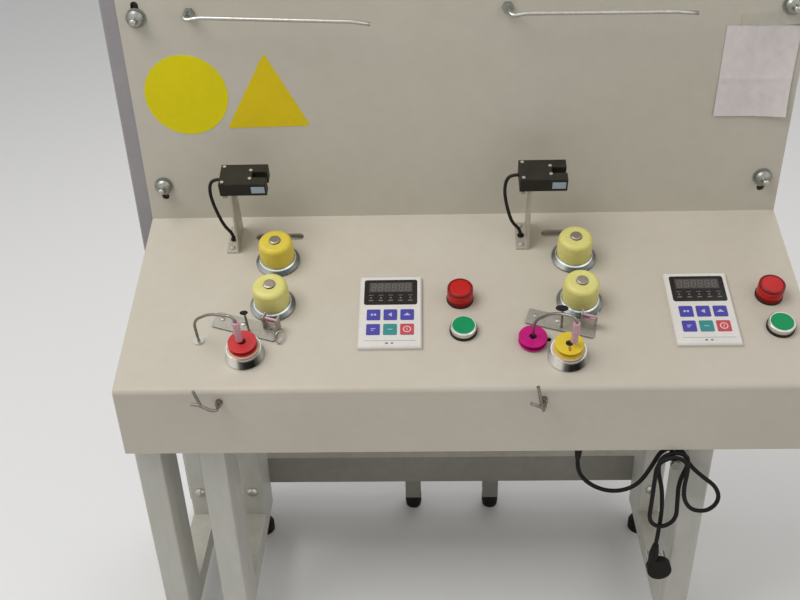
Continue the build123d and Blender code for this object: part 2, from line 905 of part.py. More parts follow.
# Slotted sensors: a flat housing with a fork open to the right, on a folded bracket
sensor_low = sensor_top - sensor_thickness
tab_low = sensor_low - bracket_thickness
screw_left = -sensor_width / 2 + sensor_screw_inset
screw_right = sensor_width / 2 - fork_length - sensor_screw_radius
screw_reach = sensor_depth / 2 - sensor_screw_inset
clamp_spots = {
    side: [
        (station_u + sensor_offsets[side] + screw_left, sensor_v + dv)
        for dv in (-screw_reach, screw_reach)
    ]
    for side, station_u in stations.items()
}
cover_spots = {
    side: [
        (station_u + sensor_offsets[side] + screw_right, sensor_v + fork_shift + dv)
        for dv in (-sensor_screw_spread, sensor_screw_spread)
    ]
    for side, station_u in stations.items()
}
for side, station_u in stations.items():
    housing_u = station_u + sensor_offsets[side]
    with BuildPart() as sensor:
        with BuildSketch(desk_spot(housing_u, sensor_v).offset(sensor_low)):
            Rectangle(sensor_width, sensor_depth)
            with Locations((sensor_width / 2 - fork_length / 2, fork_shift)):
                Rectangle(fork_length, fork_gap, mode=Mode.SUBTRACT)
        extrude(amount=sensor_thickness)
        upper = sensor.faces().filter_by(lambda f: f.normal_at().dot(desk.z_dir) > 0.99)
        chamfer(upper.edges(), sensor_edge)
        for u, v in clamp_spots[side] + cover_spots[side]:
            seat_low = sensor_top - sensor_screw_depth
            round_pin(desk_spot(u, v), sensor_screw_radius, seat_low, sensor_top, Mode.SUBTRACT)
    save(sensor, f"{side}_sensor_housing")

with BuildPart() as sensor_screws:
    for side, bracket_u in bracket_places.items():
        for u, v in clamp_spots[side] + cover_spots[side]:
            screw_low = sensor_top - sensor_screw_depth
            round_pin(desk_spot(u, v), sensor_screw_radius, screw_low, sensor_top + sensor_screw_rise)
        for u, v in clamp_spots[side]:
            round_pin(desk_spot(u, v), sensor_nut_radius, tab_low - sensor_nut, tab_low)
        for dv in (-bracket_screw_pitch / 2, bracket_screw_pitch / 2):
            turned(
                normal_plane(bracket_u + bracket_screw_u, bracket_v + dv),
                [
                    (0, bracket_thickness),
                    (bracket_screw_head, bracket_thickness),
                    (bracket_screw_head, bracket_thickness + bracket_screw_rise * 0.4),
                    (bracket_screw_head * 0.6, bracket_thickness + bracket_screw_rise * 0.9),
                    (0, bracket_thickness + bracket_screw_rise),
                ],
            )
save(sensor_screws, "sensor_screws")

# Bracket: a foot on the desk, an upright along the slope that narrows, and a tab on top
with BuildPart() as sensor_brackets:
    for bracket_u in bracket_places.values():
        foot_centre_u = bracket_u - bracket_foot / 2
        with BuildSketch(desk_spot(foot_centre_u, bracket_v)) as foot_face:
            Rectangle(bracket_foot, bracket_length)
            with Locations((bracket_foot / 2 + cable_hole_u, 0)):
                Circle(grommet_hole, mode=Mode.SUBTRACT)
        extrude(foot_face.sketch, amount=bracket_thickness)
        upright_plane = Plane(origin=on_desk(bracket_u, 0), x_dir=desk.y_dir, z_dir=-desk.x_dir)
        with BuildSketch(upright_plane) as upright_face:
            with BuildLine():
                Polyline(
                    (bracket_v - bracket_length / 2, 0),
                    (bracket_v + bracket_length / 2, 0),
                    (bracket_top_far, -sensor_low),
                    (bracket_top_near, -sensor_low),
                    close=True,
                )
            make_face()
        extrude(upright_face.sketch, amount=bracket_thickness)
        tab_v = (bracket_top_near + bracket_top_far) / 2
        with BuildSketch(desk_spot(bracket_u - bracket_tab / 2, tab_v).offset(tab_low)) as tab_face:
            Rectangle(bracket_tab, bracket_top_far - bracket_top_near)
        extrude(tab_face.sketch, amount=bracket_thickness)
save(sensor_brackets, "sensor_brackets")


def tangent_radii(points):
    """Bend radius at each inner point: a share of the shorter run over the tangent of half the turn."""
    radii = []
    for before, here_point, after in zip(points, points[1:], points[2:]):
        come = here_point - before
        leave = after - here_point
        half_turn = math.radians(come.get_angle(leave)) / 2
        radii.append(tangent_share * min(come.length, leave.length) / math.tan(half_turn))
    return radii


def cord_solid(points, radius, name):
    """Round cord along straight runs and tangent arcs; prints its radii and volume ratio."""
    radii = tangent_radii(points)
    with BuildPart() as cord:
        with BuildLine() as route:
            FilletPolyline(*points, radius=radii)
        path = route.wire()
        with BuildSketch(Plane(origin=path @ 0, z_dir=path % 0)):
            Circle(radius)
        sweep(path=path)
    length = path.length
    ratio = cord.part.volume / (math.pi * radius**2 * length)
    print(name, "length", round(length, 1), "volume ratio", round(ratio, 4))
    print(name, "radii", [round(radius_here, 1) for radius_here in radii])
    save(cord, name)


# Sensor cables: out of the housing's left end, round in a bow and down through the foot
cable_height = sensor_low + sensor_thickness / 2
for side, station_u in stations.items():
    exit_u = station_u + sensor_offsets[side] - sensor_width / 2
    hole_u = bracket_places[side] + cable_hole_u
    cable_points = [(exit_u + du, cable_exit_v + dv, cable_height + dh) for du, dv, dh in cable_bow]
    cable_points.append((hole_u, bracket_v, cable_drop))
    cable_points.append((hole_u, bracket_v, -sheet))
    cord_solid([on_desk(*spot) for spot in cable_points], cable_radius, f"{side}_sensor_cable")

with BuildPart() as cable_grommets:
    for bracket_u in bracket_places.values():
        turned(
            normal_plane(bracket_u + cable_hole_u, bracket_v),
            [
                (cable_radius + seat_gap, -sheet - grommet_rise),
                (grommet_hole, -sheet - grommet_rise),
                (grommet_hole, bracket_thickness),
                (grommet_radius, bracket_thickness),
                (grommet_radius - grommet_edge, bracket_thickness + grommet_rise),
                (cable_radius + seat_gap, bracket_thickness + grommet_rise),
            ],
        )
save(cable_grommets, "cable_grommets")

# Counters: a shallow bezel on the desk with its body through the cut-out
with BuildPart() as counters:
    for station_u in stations.values():
        spot = desk_spot(station_u + counter_u, counter_v)
        with BuildSketch(spot) as bezel:
            Rectangle(counter_width, counter_length)
        extrude(bezel.sketch, amount=counter_rise)
        with BuildSketch(spot.offset(-counter_body_depth)) as body:
            Rectangle(counter_width - 2 * counter_lip, counter_length - 2 * counter_lip)
        extrude(body.sketch, amount=counter_body_depth)
    upper = counters.faces().filter_by(lambda f: f.normal_at().dot(desk.z_dir) > 0.99)
    chamfer(upper.group_by(SortBy.AREA)[-1].edges(), counter_edge)
    for station_u in stations.values():
        spot = desk_spot(station_u + counter_u, counter_v)
        with BuildSketch(spot.offset(counter_rise - glass_depth)) as recess:
            with Locations((0, glass_shift)):
                RectangleRounded(glass_width, glass_length, glass_round)
        extrude(recess.sketch, amount=glass_depth, mode=Mode.SUBTRACT)
save(counters, "counters")

with BuildPart() as counter_windows:
    for station_u in stations.values():
        spot = desk_spot(station_u + counter_u, counter_v)
        with BuildSketch(spot.offset(counter_rise - glass_depth)) as glass:
            with Locations((0, glass_shift)):
                RectangleRounded(glass_width, glass_length, glass_round)
        extrude(glass.sketch, amount=glass_depth + glass_rise)
save(counter_windows, "counter_windows")

with BuildPart() as counter_keys:
    for station_u in stations.values():
        spot = desk_spot(station_u + counter_u, counter_v)
        with BuildSketch(spot.offset(counter_rise)) as keys:
            with Locations((0, key_shift)):
                with GridLocations(key_column_pitch, key_row_pitch, 3, 2):
                    RectangleRounded(key_width, key_length, key_round)
        extrude(keys.sketch, amount=key_rise)
save(counter_keys, "counter_keys")

# Pilot lamps and push buttons: black bodies through the desk, a red lens, a bright ring
with BuildPart() as control_bodies:
    for station_u in stations.values():
        turned(
            normal_plane(station_u + lamp_u, lamp_v),
            [
                (0, -barrel_depth),
                (barrel_radius, -barrel_depth),
                (barrel_radius, 0),
                (base_ring_radius, 0),
                (base_ring_radius, base_ring_height - base_ring_edge),
                (base_ring_radius - base_ring_edge, base_ring_height),
                (0, base_ring_height),
            ],
        )
        turned(
            normal_plane(station_u + button_u, button_v),
            [
                (0, -barrel_depth),
                (barrel_radius, -barrel_depth),
                (barrel_radius, 0),
                (base_ring_radius, 0),
                (base_ring_radius, base_ring_height),
                (button_stem_radius + running_gap, base_ring_height),
                (button_stem_radius + running_gap, -button_travel - stem_well),
                (0, -button_travel - stem_well),
            ],
        )
save(control_bodies, "lamp_and_button_bodies")

with BuildPart() as lamp_lenses:
    for station_u in stations.values():
        turned(
            normal_plane(station_u + lamp_u, lamp_v),
            [
                (0, base_ring_height),
                (lamp_radius + lens_flare, base_ring_height),
                (lamp_radius, lamp_height),
                (0, lamp_height),
            ],
        )
    rings = lamp_lenses.edges().filter_by(GeomType.CIRCLE)
    fillet(rings.filter_by(lambda e: abs(e.radius - lamp_radius) < lens_flare / 2), lens_round)
save(lamp_lenses, "pilot_lamp_lenses")

with BuildPart() as button_rings:
    for station_u in stations.values():
        turned(
            normal_plane(station_u + button_u, button_v),
            [
                (button_radius + running_gap, base_ring_height),
                (ring_radius, base_ring_height),
                (ring_radius, ring_height - ring_edge),
                (ring_radius - ring_edge, ring_height),
                (button_radius + running_gap, ring_height),
            ],
        )
save(button_rings, "push_button_rings")

cap_top = ring_height + button_rise
for side, station_u in stations.items():
    with BuildPart() as button:
        turned(
            normal_plane(station_u + button_u, button_v),
            [
                (0, -button_travel),
                (button_stem_radius, -button_travel),
                (button_stem_radius, cap_top - button_cap),
                (button_radius, cap_top - button_cap),
                (button_radius, cap_top - button_edge),
                (button_radius - button_edge, cap_top),
                (0, cap_top),
            ],
        )
    save(button, f"{side}_push_button")

# Tension plates: a bright strip screwed flat to the desk, with ears that hold two ceramic
# bars and a tall post that carries a felt washer on a bright disc
turn = math.radians(tension_turn)
plate_x = desk.x_dir * math.cos(turn) + desk.y_dir * math.sin(turn)
plate_planes = [
    Plane(origin=on_desk(stations[side] + plate_offsets[side], tension_v), x_dir=plate_x, z_dir=desk.z_dir)
    for side in stations
]
plate_top = plate_standoff + plate_thickness


def plate_spot(plate_plane, along, across):
    """Plane parallel to the desk with its origin at a spot of the tension plate."""
    origin = plate_plane.from_local_coords(Vector(along, across, 0))
    return Plane(origin=origin, x_dir=plate_x, z_dir=desk.z_dir)


ear_starts = (plate_length / 2 - bar_span - 2 * plate_thickness, plate_length / 2 - plate_thickness)
bar_v = plate_width / 2 - ear_inset
with BuildPart() as tension_plates:
    for plate_plane in plate_planes:
        with BuildSketch(plate_plane.offset(plate_standoff)) as strip_face:
            RectangleRounded(plate_length, plate_width, plate_round)
        extrude(strip_face.sketch, amount=plate_thickness)
        with BuildSketch(plate_plane.offset(plate_top)) as ear_faces:
            for ear_start in ear_starts:
                with Locations((ear_start + plate_thickness / 2, bar_v)):
                    Rectangle(plate_thickness, ear_width)
        extrude(ear_faces.sketch, amount=ear_height)
save(tension_plates, "tension_plates")

bar_start = ear_starts[0] + plate_thickness
bar_length = ear_starts[1] - bar_start
with BuildPart() as tension_bars:
    for plate_plane in plate_planes:
        for bar_level in (bar_low, bar_low + bar_pitch):
            centre = plate_plane.from_local_coords(Vector(bar_start, bar_v, plate_top + bar_level))
            bar_end = Plane(origin=centre, x_dir=desk.z_dir, z_dir=plate_x)
            round_pin(bar_end, bar_radius, 0, bar_length)
save(tension_bars, "tension_bars")

disc_low = plate_top + disc_post_height
felt_low = disc_low + disc_thickness
felt_top = felt_low + felt_thickness
with BuildPart() as plate_fittings:
    for plate_plane in plate_planes:
        for along, across in plate_screws:
            spot = plate_spot(plate_plane, along, across)
            round_pin(spot, spacer_radius, 0, plate_standoff)
            round_pin(spot, plate_screw_radius, plate_top, plate_top + plate_screw_rise)
        post = plate_spot(plate_plane, disc_post_u, disc_post_v)
        round_pin(post, spacer_radius, plate_top, plate_top + disc_thickness)
        round_pin(post, disc_post_radius, plate_top, felt_top + disc_thickness)
        round_pin(post, disc_radius, disc_low, felt_low)
save(plate_fittings, "plate_fittings")

with BuildPart() as felt_washers:
    for plate_plane in plate_planes:
        post = plate_spot(plate_plane, disc_post_u, disc_post_v)
        with BuildSketch(post.offset(felt_low)) as washer_face:
            Circle(felt_radius)
            Circle(disc_post_radius, mode=Mode.SUBTRACT)
        extrude(washer_face.sketch, amount=felt_thickness)
save(felt_washers, "felt_washers")

# Guide rods: each leaves the panel, turns right and ends in a slightly lowered tail
with BuildPart() as guide_rods:
    for rod_x in (rod_left_x, rod_right_x):
        rod_points = [
            panel.from_local_coords(Vector(*spot))
            for spot in (
                (rod_x, rod_height, -sheet - rod_nut_height),
                (rod_x, rod_height, rod_standoff),
                (rod_x + rod_length, rod_height, rod_standoff),
                (rod_x + rod_length + rod_tail, rod_height - rod_tail_fall, rod_standoff),
            )
        ]
        swept_wire(rod_points, rod_bend, rod_radius)
save(guide_rods, "guide_rods")

with BuildPart() as rod_nuts:
    for rod_x in (rod_left_x, rod_right_x):
        for nut_low in (0, -sheet - rod_nut_height):
            seat = Plane(
                origin=panel.from_local_coords(Vector(rod_x, rod_height, nut_low)),
                x_dir=panel.x_dir,
                z_dir=panel.z_dir,
            )
            with BuildSketch(seat) as nut_face:
                RegularPolygon(rod_nut_radius, 6, major_radius=False)
                Circle(rod_radius, mode=Mode.SUBTRACT)
            extrude(nut_face.sketch, amount=rod_nut_height)
save(rod_nuts, "guide_rod_nuts")

# Front thread guides: a ferrule on the apron, a stem with a side arm, and an upright across it
apron = Plane(origin=(mid_x, front_y, desk_front_height), x_dir=(1, 0, 0), z_dir=(0, -1, 0))


def on_apron(x, y, out):
    """World point from x and y on the apron's face and the distance out of it."""
    return apron.from_local_coords(Vector(x, y, out))


with BuildPart() as thread_guides:
    for side, (arm_steps, upright_steps) in guide_lines.items():
        root_x = stations[side] + guide_u
        root = Plane(origin=on_apron(root_x, -guide_drop, 0), x_dir=apron.x_dir, z_dir=apron.z_dir)
        round_pin(root, guide_ferrule_radius, 0, guide_ferrule)
        arm_points = [on_apron(root_x, -guide_drop, out) for out in (guide_ferrule / 2, guide_stem)]
        arm_points += [on_apron(root_x + x, y - guide_drop, guide_stem) for x, y in arm_steps]
        upright_points = [on_apron(root_x + x, y - guide_drop, guide_stem) for x, y in upright_steps]
        swept_wire(arm_points, guide_bend, guide_wire_radius)
        if len(upright_points) > 2:
            swept_wire(upright_points, guide_bend, guide_wire_radius)
        else:
            upright_way = upright_points[1] - upright_points[0]
            foot_plane = Plane(origin=upright_points[0], z_dir=upright_way)
            round_pin(foot_plane, guide_wire_radius, 0, upright_way.length)
save(thread_guides, "thread_guides")


def under_desk(x, back, height):
    """World point from x off the middle, depth behind the apron and height over its top edge."""
    return Vector(mid_x + x, front_y + back, desk_front_height + height)


# Power cord: from a gland in the front flange, over a hook in three turns, to a round plug
cord_solid([under_desk(*spot) for spot in cord_route], cord_radius, "power_cord")

gland_x, gland_y, cord_start = cord_route[0]
gland = Plane(origin=under_desk(gland_x, gland_y, -apron_drop), x_dir=(1, 0, 0), z_dir=(0, -1, 0))
with BuildPart() as cord_gland:
    turned(
        gland,
        [
            (0, sheet + gland_nut),
            (gland_flange_radius, sheet + gland_nut),
            (gland_flange_radius, sheet),
            (gland_radius, sheet),
            (gland_radius, 0),
            (gland_flange_radius, 0),
            (gland_flange_radius, -gland_collar),
            (relief_root, -gland_collar),
            (relief_tip, -gland_length),
            (0, -gland_length),
        ],
    )
save(cord_gland, "cord_gland")

hook_line = Plane(origin=under_desk(hook_x, 0, -hook_drop), x_dir=(1, 0, 0), z_dir=(0, 1, 0))
with BuildPart() as cord_hook:
    round_pin(hook_line, hook_radius, hook_front, hook_back)
    round_pin(hook_line, hook_knob_radius, hook_front - hook_knob, hook_front)
    with BuildSketch(hook_line.offset(hook_back)) as tab:
        with BuildLine():
            tab_foot = hook_drop - apron_drop
            Polyline(
                (-hook_tab_width / 2, -tab_foot),
                (hook_tab_width / 2, -tab_foot),
                (hook_tab_width / 2, hook_radius),
                (-hook_tab_width / 2, hook_radius),
                close=True,
            )
        make_face()
    extrude(tab.sketch, amount=hook_tab_depth)
save(cord_hook, "cord_hook")

# Round moulded plug with its neck in the rim and two pins at the back
plug_at = under_desk(*plug_centre)
plug_face = Plane(origin=plug_at, x_dir=(1, 0, 0), z_dir=(0, -1, 0))
neck_end = under_desk(*cord_route[-1])
neck_way = (under_desk(*cord_route[-2]) - neck_end).normalized()
neck_root = neck_end - neck_way * plug_neck
neck_side = Plane(origin=neck_root, x_dir=(0, 1, 0), z_dir=Vector(0, 1, 0).cross(neck_way))
with BuildPart() as power_plug:
    round_pin(plug_face, plug_radius, -plug_thickness / 2, plug_thickness / 2)
    fillet(power_plug.edges().filter_by(GeomType.CIRCLE), plug_edge)
    turned(
        neck_side,
        [
            (0, 0),
            (plug_neck_radius, 0),
            (plug_neck_radius, plug_neck * 0.6),
            (plug_neck_end, plug_neck),
            (0, plug_neck),
        ],
    )
save(power_plug, "power_plug")

with BuildPart() as plug_pins:
    for side in (-1, 1):
        pin_base = Plane(
            origin=plug_at + Vector(side * pin_pitch / 2, 0, 0), x_dir=(1, 0, 0), z_dir=(0, 1, 0)
        )
        round_pin(pin_base, pin_radius, plug_thickness / 2, plug_thickness / 2 + pin_length)
save(plug_pins, "plug_pins")
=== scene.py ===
import json
import math
from functools import partial

import bmesh
import bpy
import numpy as np
from mathutils import Matrix


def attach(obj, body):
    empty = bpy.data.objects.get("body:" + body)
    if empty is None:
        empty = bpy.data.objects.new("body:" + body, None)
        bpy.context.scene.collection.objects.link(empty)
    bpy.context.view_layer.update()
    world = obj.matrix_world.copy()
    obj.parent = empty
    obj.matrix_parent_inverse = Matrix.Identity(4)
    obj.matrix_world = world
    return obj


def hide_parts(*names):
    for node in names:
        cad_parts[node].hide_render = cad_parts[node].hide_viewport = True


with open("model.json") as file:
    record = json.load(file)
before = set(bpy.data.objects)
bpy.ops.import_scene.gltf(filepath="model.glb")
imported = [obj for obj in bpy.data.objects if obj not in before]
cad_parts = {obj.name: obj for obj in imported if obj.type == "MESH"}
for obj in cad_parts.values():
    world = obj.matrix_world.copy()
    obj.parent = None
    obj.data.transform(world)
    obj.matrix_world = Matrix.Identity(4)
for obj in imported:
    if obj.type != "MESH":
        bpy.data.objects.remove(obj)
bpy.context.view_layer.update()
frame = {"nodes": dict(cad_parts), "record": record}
print("stage: frame loaded")

# where things stand, in metres: the sloped desk top and the upright panel behind it
desk = {
    "slope": math.radians(16.0), "midX": 0.0095, "frontY": -0.143698, "frontZ": 0.445,
    "run": 0.255696, "panelBase": 0.51832,
}
stations = {"left": -0.2405, "right": 0.110}
cosSlope, sinSlope = math.cos(desk["slope"]), math.sin(desk["slope"])
deskRight = np.array([1.0, 0.0, 0.0])
deskUp = np.array([0.0, cosSlope, sinSlope])  # up the slope
deskOut = np.array([0.0, -sinSlope, cosSlope])  # out of the desk
deskAxes = np.array([deskRight, deskUp, deskOut])
deskCorner = np.array([desk["midX"], desk["frontY"], desk["frontZ"]])
panelAxes = np.array([[1.0, 0.0, 0.0], [0.0, 0.0, 1.0], [0.0, -1.0, 0.0]])  # right, up, to the operator
panelCorner = np.array([desk["midX"], desk["frontY"] + desk["run"], desk["panelBase"]])


def placed(points, corner, axes):
    # world = corner + x * first axis + y * second axis + z * third axis
    return corner + np.asarray(points, float) @ axes


def onDesk(points):
    return placed(points, deskCorner, deskAxes)


def onPanel(points):
    return placed(points, panelCorner, panelAxes)


def facing(place, right, up, ahead):
    # the matrix of a camera or a light at a place
    return Matrix.Translation(place) @ Matrix(np.array([right, up, -ahead]).T.tolist()).to_4x4()


def newObject(name, data):
    thing = bpy.data.objects.new(name, data)
    bpy.context.scene.collection.objects.link(thing)
    return thing


# ---- camera: fitted to the desk's four corners in the photograph
view = {
    "place": (-0.0268, -1.022998, 1.1286), "turn": math.radians(-2.10), "down": math.radians(32.93),
    "roll": math.radians(-1.82), "lens": 46.71, "sensor": 36.0, "nearest": 0.05,
}


def makeCamera(s):
    # ahead, right and up of the camera, then turned about the line of sight by the roll
    cosTurn, sinTurn = math.cos(s["turn"]), math.sin(s["turn"])
    cosDown, sinDown = math.cos(s["down"]), math.sin(s["down"])
    cosRoll, sinRoll = math.cos(s["roll"]), math.sin(s["roll"])
    ahead = np.array([sinTurn * cosDown, cosTurn * cosDown, -sinDown])
    right = np.array([cosTurn, -sinTurn, 0.0])
    up = np.cross(right, ahead)
    data = bpy.data.cameras.new("camera")
    data.lens = s["lens"]
    data.sensor_width = s["sensor"]
    data.clip_start = s["nearest"]
    camera = newObject("camera", data)
    right, up = cosRoll * right + sinRoll * up, cosRoll * up - sinRoll * right
    camera.matrix_world = facing(s["place"], right, up, ahead)
    bpy.context.scene.camera = camera


makeCamera(view)
print("stage: camera")


# ---- shader helpers
def newGroup(name, inputs, outputs):
    # gives the group, the sockets it reads and the sockets it fills
    group = bpy.data.node_groups.new(name, "ShaderNodeTree")
    for label, value in inputs:
        kind = "NodeSocketVector" if isinstance(value, tuple) else "NodeSocketFloat"
        socket = group.interface.new_socket(name=label, in_out="INPUT", socket_type=kind)
        socket.default_value = value
    for label in outputs:
        group.interface.new_socket(name=label, in_out="OUTPUT", socket_type="NodeSocketFloat")
    entry = group.nodes.new("NodeGroupInput")
    leave = group.nodes.new("NodeGroupOutput")
    return group, entry.outputs, leave.inputs


def feed(tree, value, socket):
    # another node's socket is linked, a plain value is set
    if isinstance(value, bpy.types.NodeSocket):
        tree.links.new(value, socket)
    else:
        socket.default_value = value


def addNode(tree, kind, **values):
    # values named like a property are set on the node, the others go to its input sockets
    node = tree.nodes.new(kind)
    for label, value in values.items():
        if hasattr(node, label):
            setattr(node, label, value)
        else:
            feed(tree, value, node.inputs[label])
    return node


def twoInputs(tree, node, first, second):
    feed(tree, first, node.inputs[0])
    feed(tree, second, node.inputs[1])
    return node.outputs


def mathNode(tree, operation, first, second=0.0, clamp=False):
    node = addNode(tree, "ShaderNodeMath", operation=operation, use_clamp=clamp)
    return twoInputs(tree, node, first, second)[0]


def vectorNode(tree, operation, first, second):
    return twoInputs(tree, addNode(tree, "ShaderNodeVectorMath", operation=operation), first, second)


def objectPlace(tree, stretch=None):
    # the place on the piece at rest, stretched along each axis
    place = addNode(tree, "ShaderNodeTexCoord").outputs["Object"]
    if stretch is None:
        return place
    return addNode(tree, "ShaderNodeMapping", Vector=place, Scale=stretch).outputs["Vector"]


def noiseNode(tree, place, scale, **values):
    return addNode(tree, "ShaderNodeTexNoise", Vector=place, Scale=scale, **values).outputs["Fac"]


def mixColours(tree, share, first, second):
    # a colour is three numbers or another node's socket
    first, second = ((*value, 1.0) if isinstance(value, tuple) else value for value in (first, second))
    node = addNode(tree, "ShaderNodeMix", data_type="RGBA", Factor=share, A=first, B=second)
    return node.outputs["Result"]


def makeMottleGroup():
    # cloudy patches: a broad and a fine noise, widened about the middle to use 0 to 1
    group, given, result = newGroup(
        "mottle", [("Scale", 8.0), ("Fine", 60.0), ("Share", 0.35), ("Stretch", (1.0, 1.0, 1.0))], ["Value"]
    )
    calc = partial(mathNode, group)
    middle, widen = 0.5, 2.4
    place = objectPlace(group, given["Stretch"])
    broad = noiseNode(group, place, given["Scale"], Detail=4.0)
    fine = noiseNode(group, place, given["Fine"], Detail=3.0)
    fineShare = calc("MULTIPLY", fine, given["Share"])
    broadShare = calc("MULTIPLY", broad, calc("SUBTRACT", 1.0, given["Share"]))
    centred = calc("SUBTRACT", calc("ADD", fineShare, broadShare), middle)
    wide = calc("MULTIPLY", centred, widen)
    feed(group, calc("ADD", wide, middle, clamp=True), result["Value"])
    return group


def makeEdgeGroup():
    # worn edges: where the rounded normal leaves the flat one, broken up by noise
    group, given, result = newGroup(
        "edgeWear", [("Width", 0.001), ("Gain", 6.0), ("Breakup", 120.0), ("Keep", 0.5)], ["Mask"]
    )
    calc = partial(mathNode, group)
    contrast = 7.0
    rounded = addNode(group, "ShaderNodeBevel", samples=4, Radius=given["Width"]).outputs["Normal"]
    flat = addNode(group, "ShaderNodeNewGeometry").outputs["Normal"]
    alike = vectorNode(group, "DOT_PRODUCT", rounded, flat)["Value"]
    strong = calc("MULTIPLY", calc("SUBTRACT", 1.0, alike), given["Gain"])
    noise = noiseNode(group, objectPlace(group), given["Breakup"], Detail=4.0)
    gap = calc("SUBTRACT", noise, given["Keep"])
    patches = calc("MULTIPLY", gap, contrast, clamp=True)
    feed(group, calc("MULTIPLY", strong, patches, clamp=True), result["Mask"])
    return group


def makeDustGroup():
    # dust lies on what faces up, in soft clumps
    group, given, result = newGroup("dust", [("Amount", 0.3), ("Scale", 25.0)], ["Mask"])
    calc = partial(mathNode, group)
    bare, contrast = 0.35, 2.5
    flat = addNode(group, "ShaderNodeNewGeometry").outputs["Normal"]
    upward = addNode(group, "ShaderNodeSeparateXYZ", Vector=flat).outputs["Z"]
    flatness = calc("POWER", calc("MAXIMUM", upward, 0.0), 2.0)
    noise = noiseNode(group, objectPlace(group), given["Scale"], Detail=6.0, Roughness=0.7)
    clumps = calc("MULTIPLY", calc("SUBTRACT", noise, bare), contrast, clamp=True)
    settled = calc("MULTIPLY", flatness, clumps)
    feed(group, calc("MULTIPLY", settled, given["Amount"], clamp=True), result["Mask"])
    return group


def makeGrainGroup():
    # a fine relief: noise stretched along a direction, for coats, brushed metal and mouldings
    group, given, result = newGroup("grain", [("Scale", 900.0), ("Stretch", (1.0, 1.0, 1.0))], ["Height"])
    place = objectPlace(group, given["Stretch"])
    feed(group, noiseNode(group, place, given["Scale"], Detail=2.0), result["Height"])
    return group


# turned metal: its painted reflection tone at each share of a turn, the sharpness of its painted highlight
# ring and its fine rings
turnedPaintedReflection = {
    "stripes": (
        (0.0, 0.5), (0.07, 0.75), (0.12, 1.0), (0.175, 0.95), (0.21, 0.16), (0.25, 0.02), (0.33, 0.0),
        (0.375, 0.15), (0.43, 0.6), (0.48, 0.45), (0.56, 0.2), (0.66, 0.5), (0.78, 0.3), (0.9, 0.6),
        (1.0, 0.5),
    ),
    "ringSharpness": 900.0, "fineRings": 2600.0,
}


def makeTurnedGroup(s):
    # painted reflection stripes around the desk's normal through a centre, a painted highlight ring, and fine
    # rings for the relief
    entries = [("Centre", (0.0, 0.0, 0.0)), ("Phase", 0.0), ("Ring", 0.02), ("Strength", 1.0)]
    group, given, result = newGroup("turned", entries, ["Tone", "Rings"])
    calc = partial(mathNode, group)
    away = vectorNode(group, "SUBTRACT", objectPlace(group), given["Centre"])["Vector"]
    across, along, out = (vectorNode(group, "DOT_PRODUCT", away, tuple(axis))["Value"] for axis in deskAxes)
    angle = calc("ARCTAN2", along, across)
    share = calc("ADD", calc("MULTIPLY", angle, 0.5 / math.pi), 0.5)
    turned = calc("FRACT", calc("ADD", share, given["Phase"]))
    # painted reflection: dark and bright bands by the angle round the axis
    ramp = addNode(group, "ShaderNodeValToRGB", Fac=turned)
    elements = ramp.color_ramp.elements
    while len(elements) < len(s["stripes"]):
        elements.new(0.5)
    for element, (position, tone) in zip(elements, s["stripes"]):
        element.position = position
        element.color = (tone, tone, tone, 1.0)
    # painted highlight: a bright ring at the given radius from the axis
    squares = [calc("MULTIPLY", side, side) for side in (across, along)]
    radius = calc("SQRT", calc("ADD", *squares))
    gap = calc("ABSOLUTE", calc("SUBTRACT", radius, given["Ring"]))
    fade = calc("MULTIPLY", gap, s["ringSharpness"])
    ring = calc("SUBTRACT", 1.0, fade, clamp=True)
    paintedReflection = calc("MULTIPLY", ramp.outputs["Color"], given["Strength"])
    feed(group, calc("MAXIMUM", paintedReflection, ring), result["Tone"])
    spread = addNode(group, "ShaderNodeCombineXYZ", X=radius, Y=out).outputs["Vector"]
    feed(group, noiseNode(group, spread, s["fineRings"], Detail=2.0), result["Rings"])
    return group


groups = {
    "turned": makeTurnedGroup(turnedPaintedReflection),
    "mottle": makeMottleGroup(),
    "edge": makeEdgeGroup(),
    "dust": makeDustGroup(),
    "grain": makeGrainGroup(),
}


def addGroup(tree, kind, **values):
    return addNode(tree, "ShaderNodeGroup", node_tree=groups[kind], **values).outputs


def look(colour, second, **more):
    # two linear colours, and what isn't usual: mottle is broad and fine scale and the fine one's share,
    # grain is scale, strength and depth, edge is width, gain, bareness and colour, dust is amount and colour
    usual = {
        "mottle": (60.0, 300.0, 0.4), "rough": (0.35, 0.5), "grain": (1200.0, 0.07, 0.0001),
        "stretch": (1.0, 1.0, 1.0), "metal": 0.0, "coat": 0.0, "soft": 0.0, "gloss": 0.5,
    }
    return {"colour": colour, "second": second, **usual, **more}


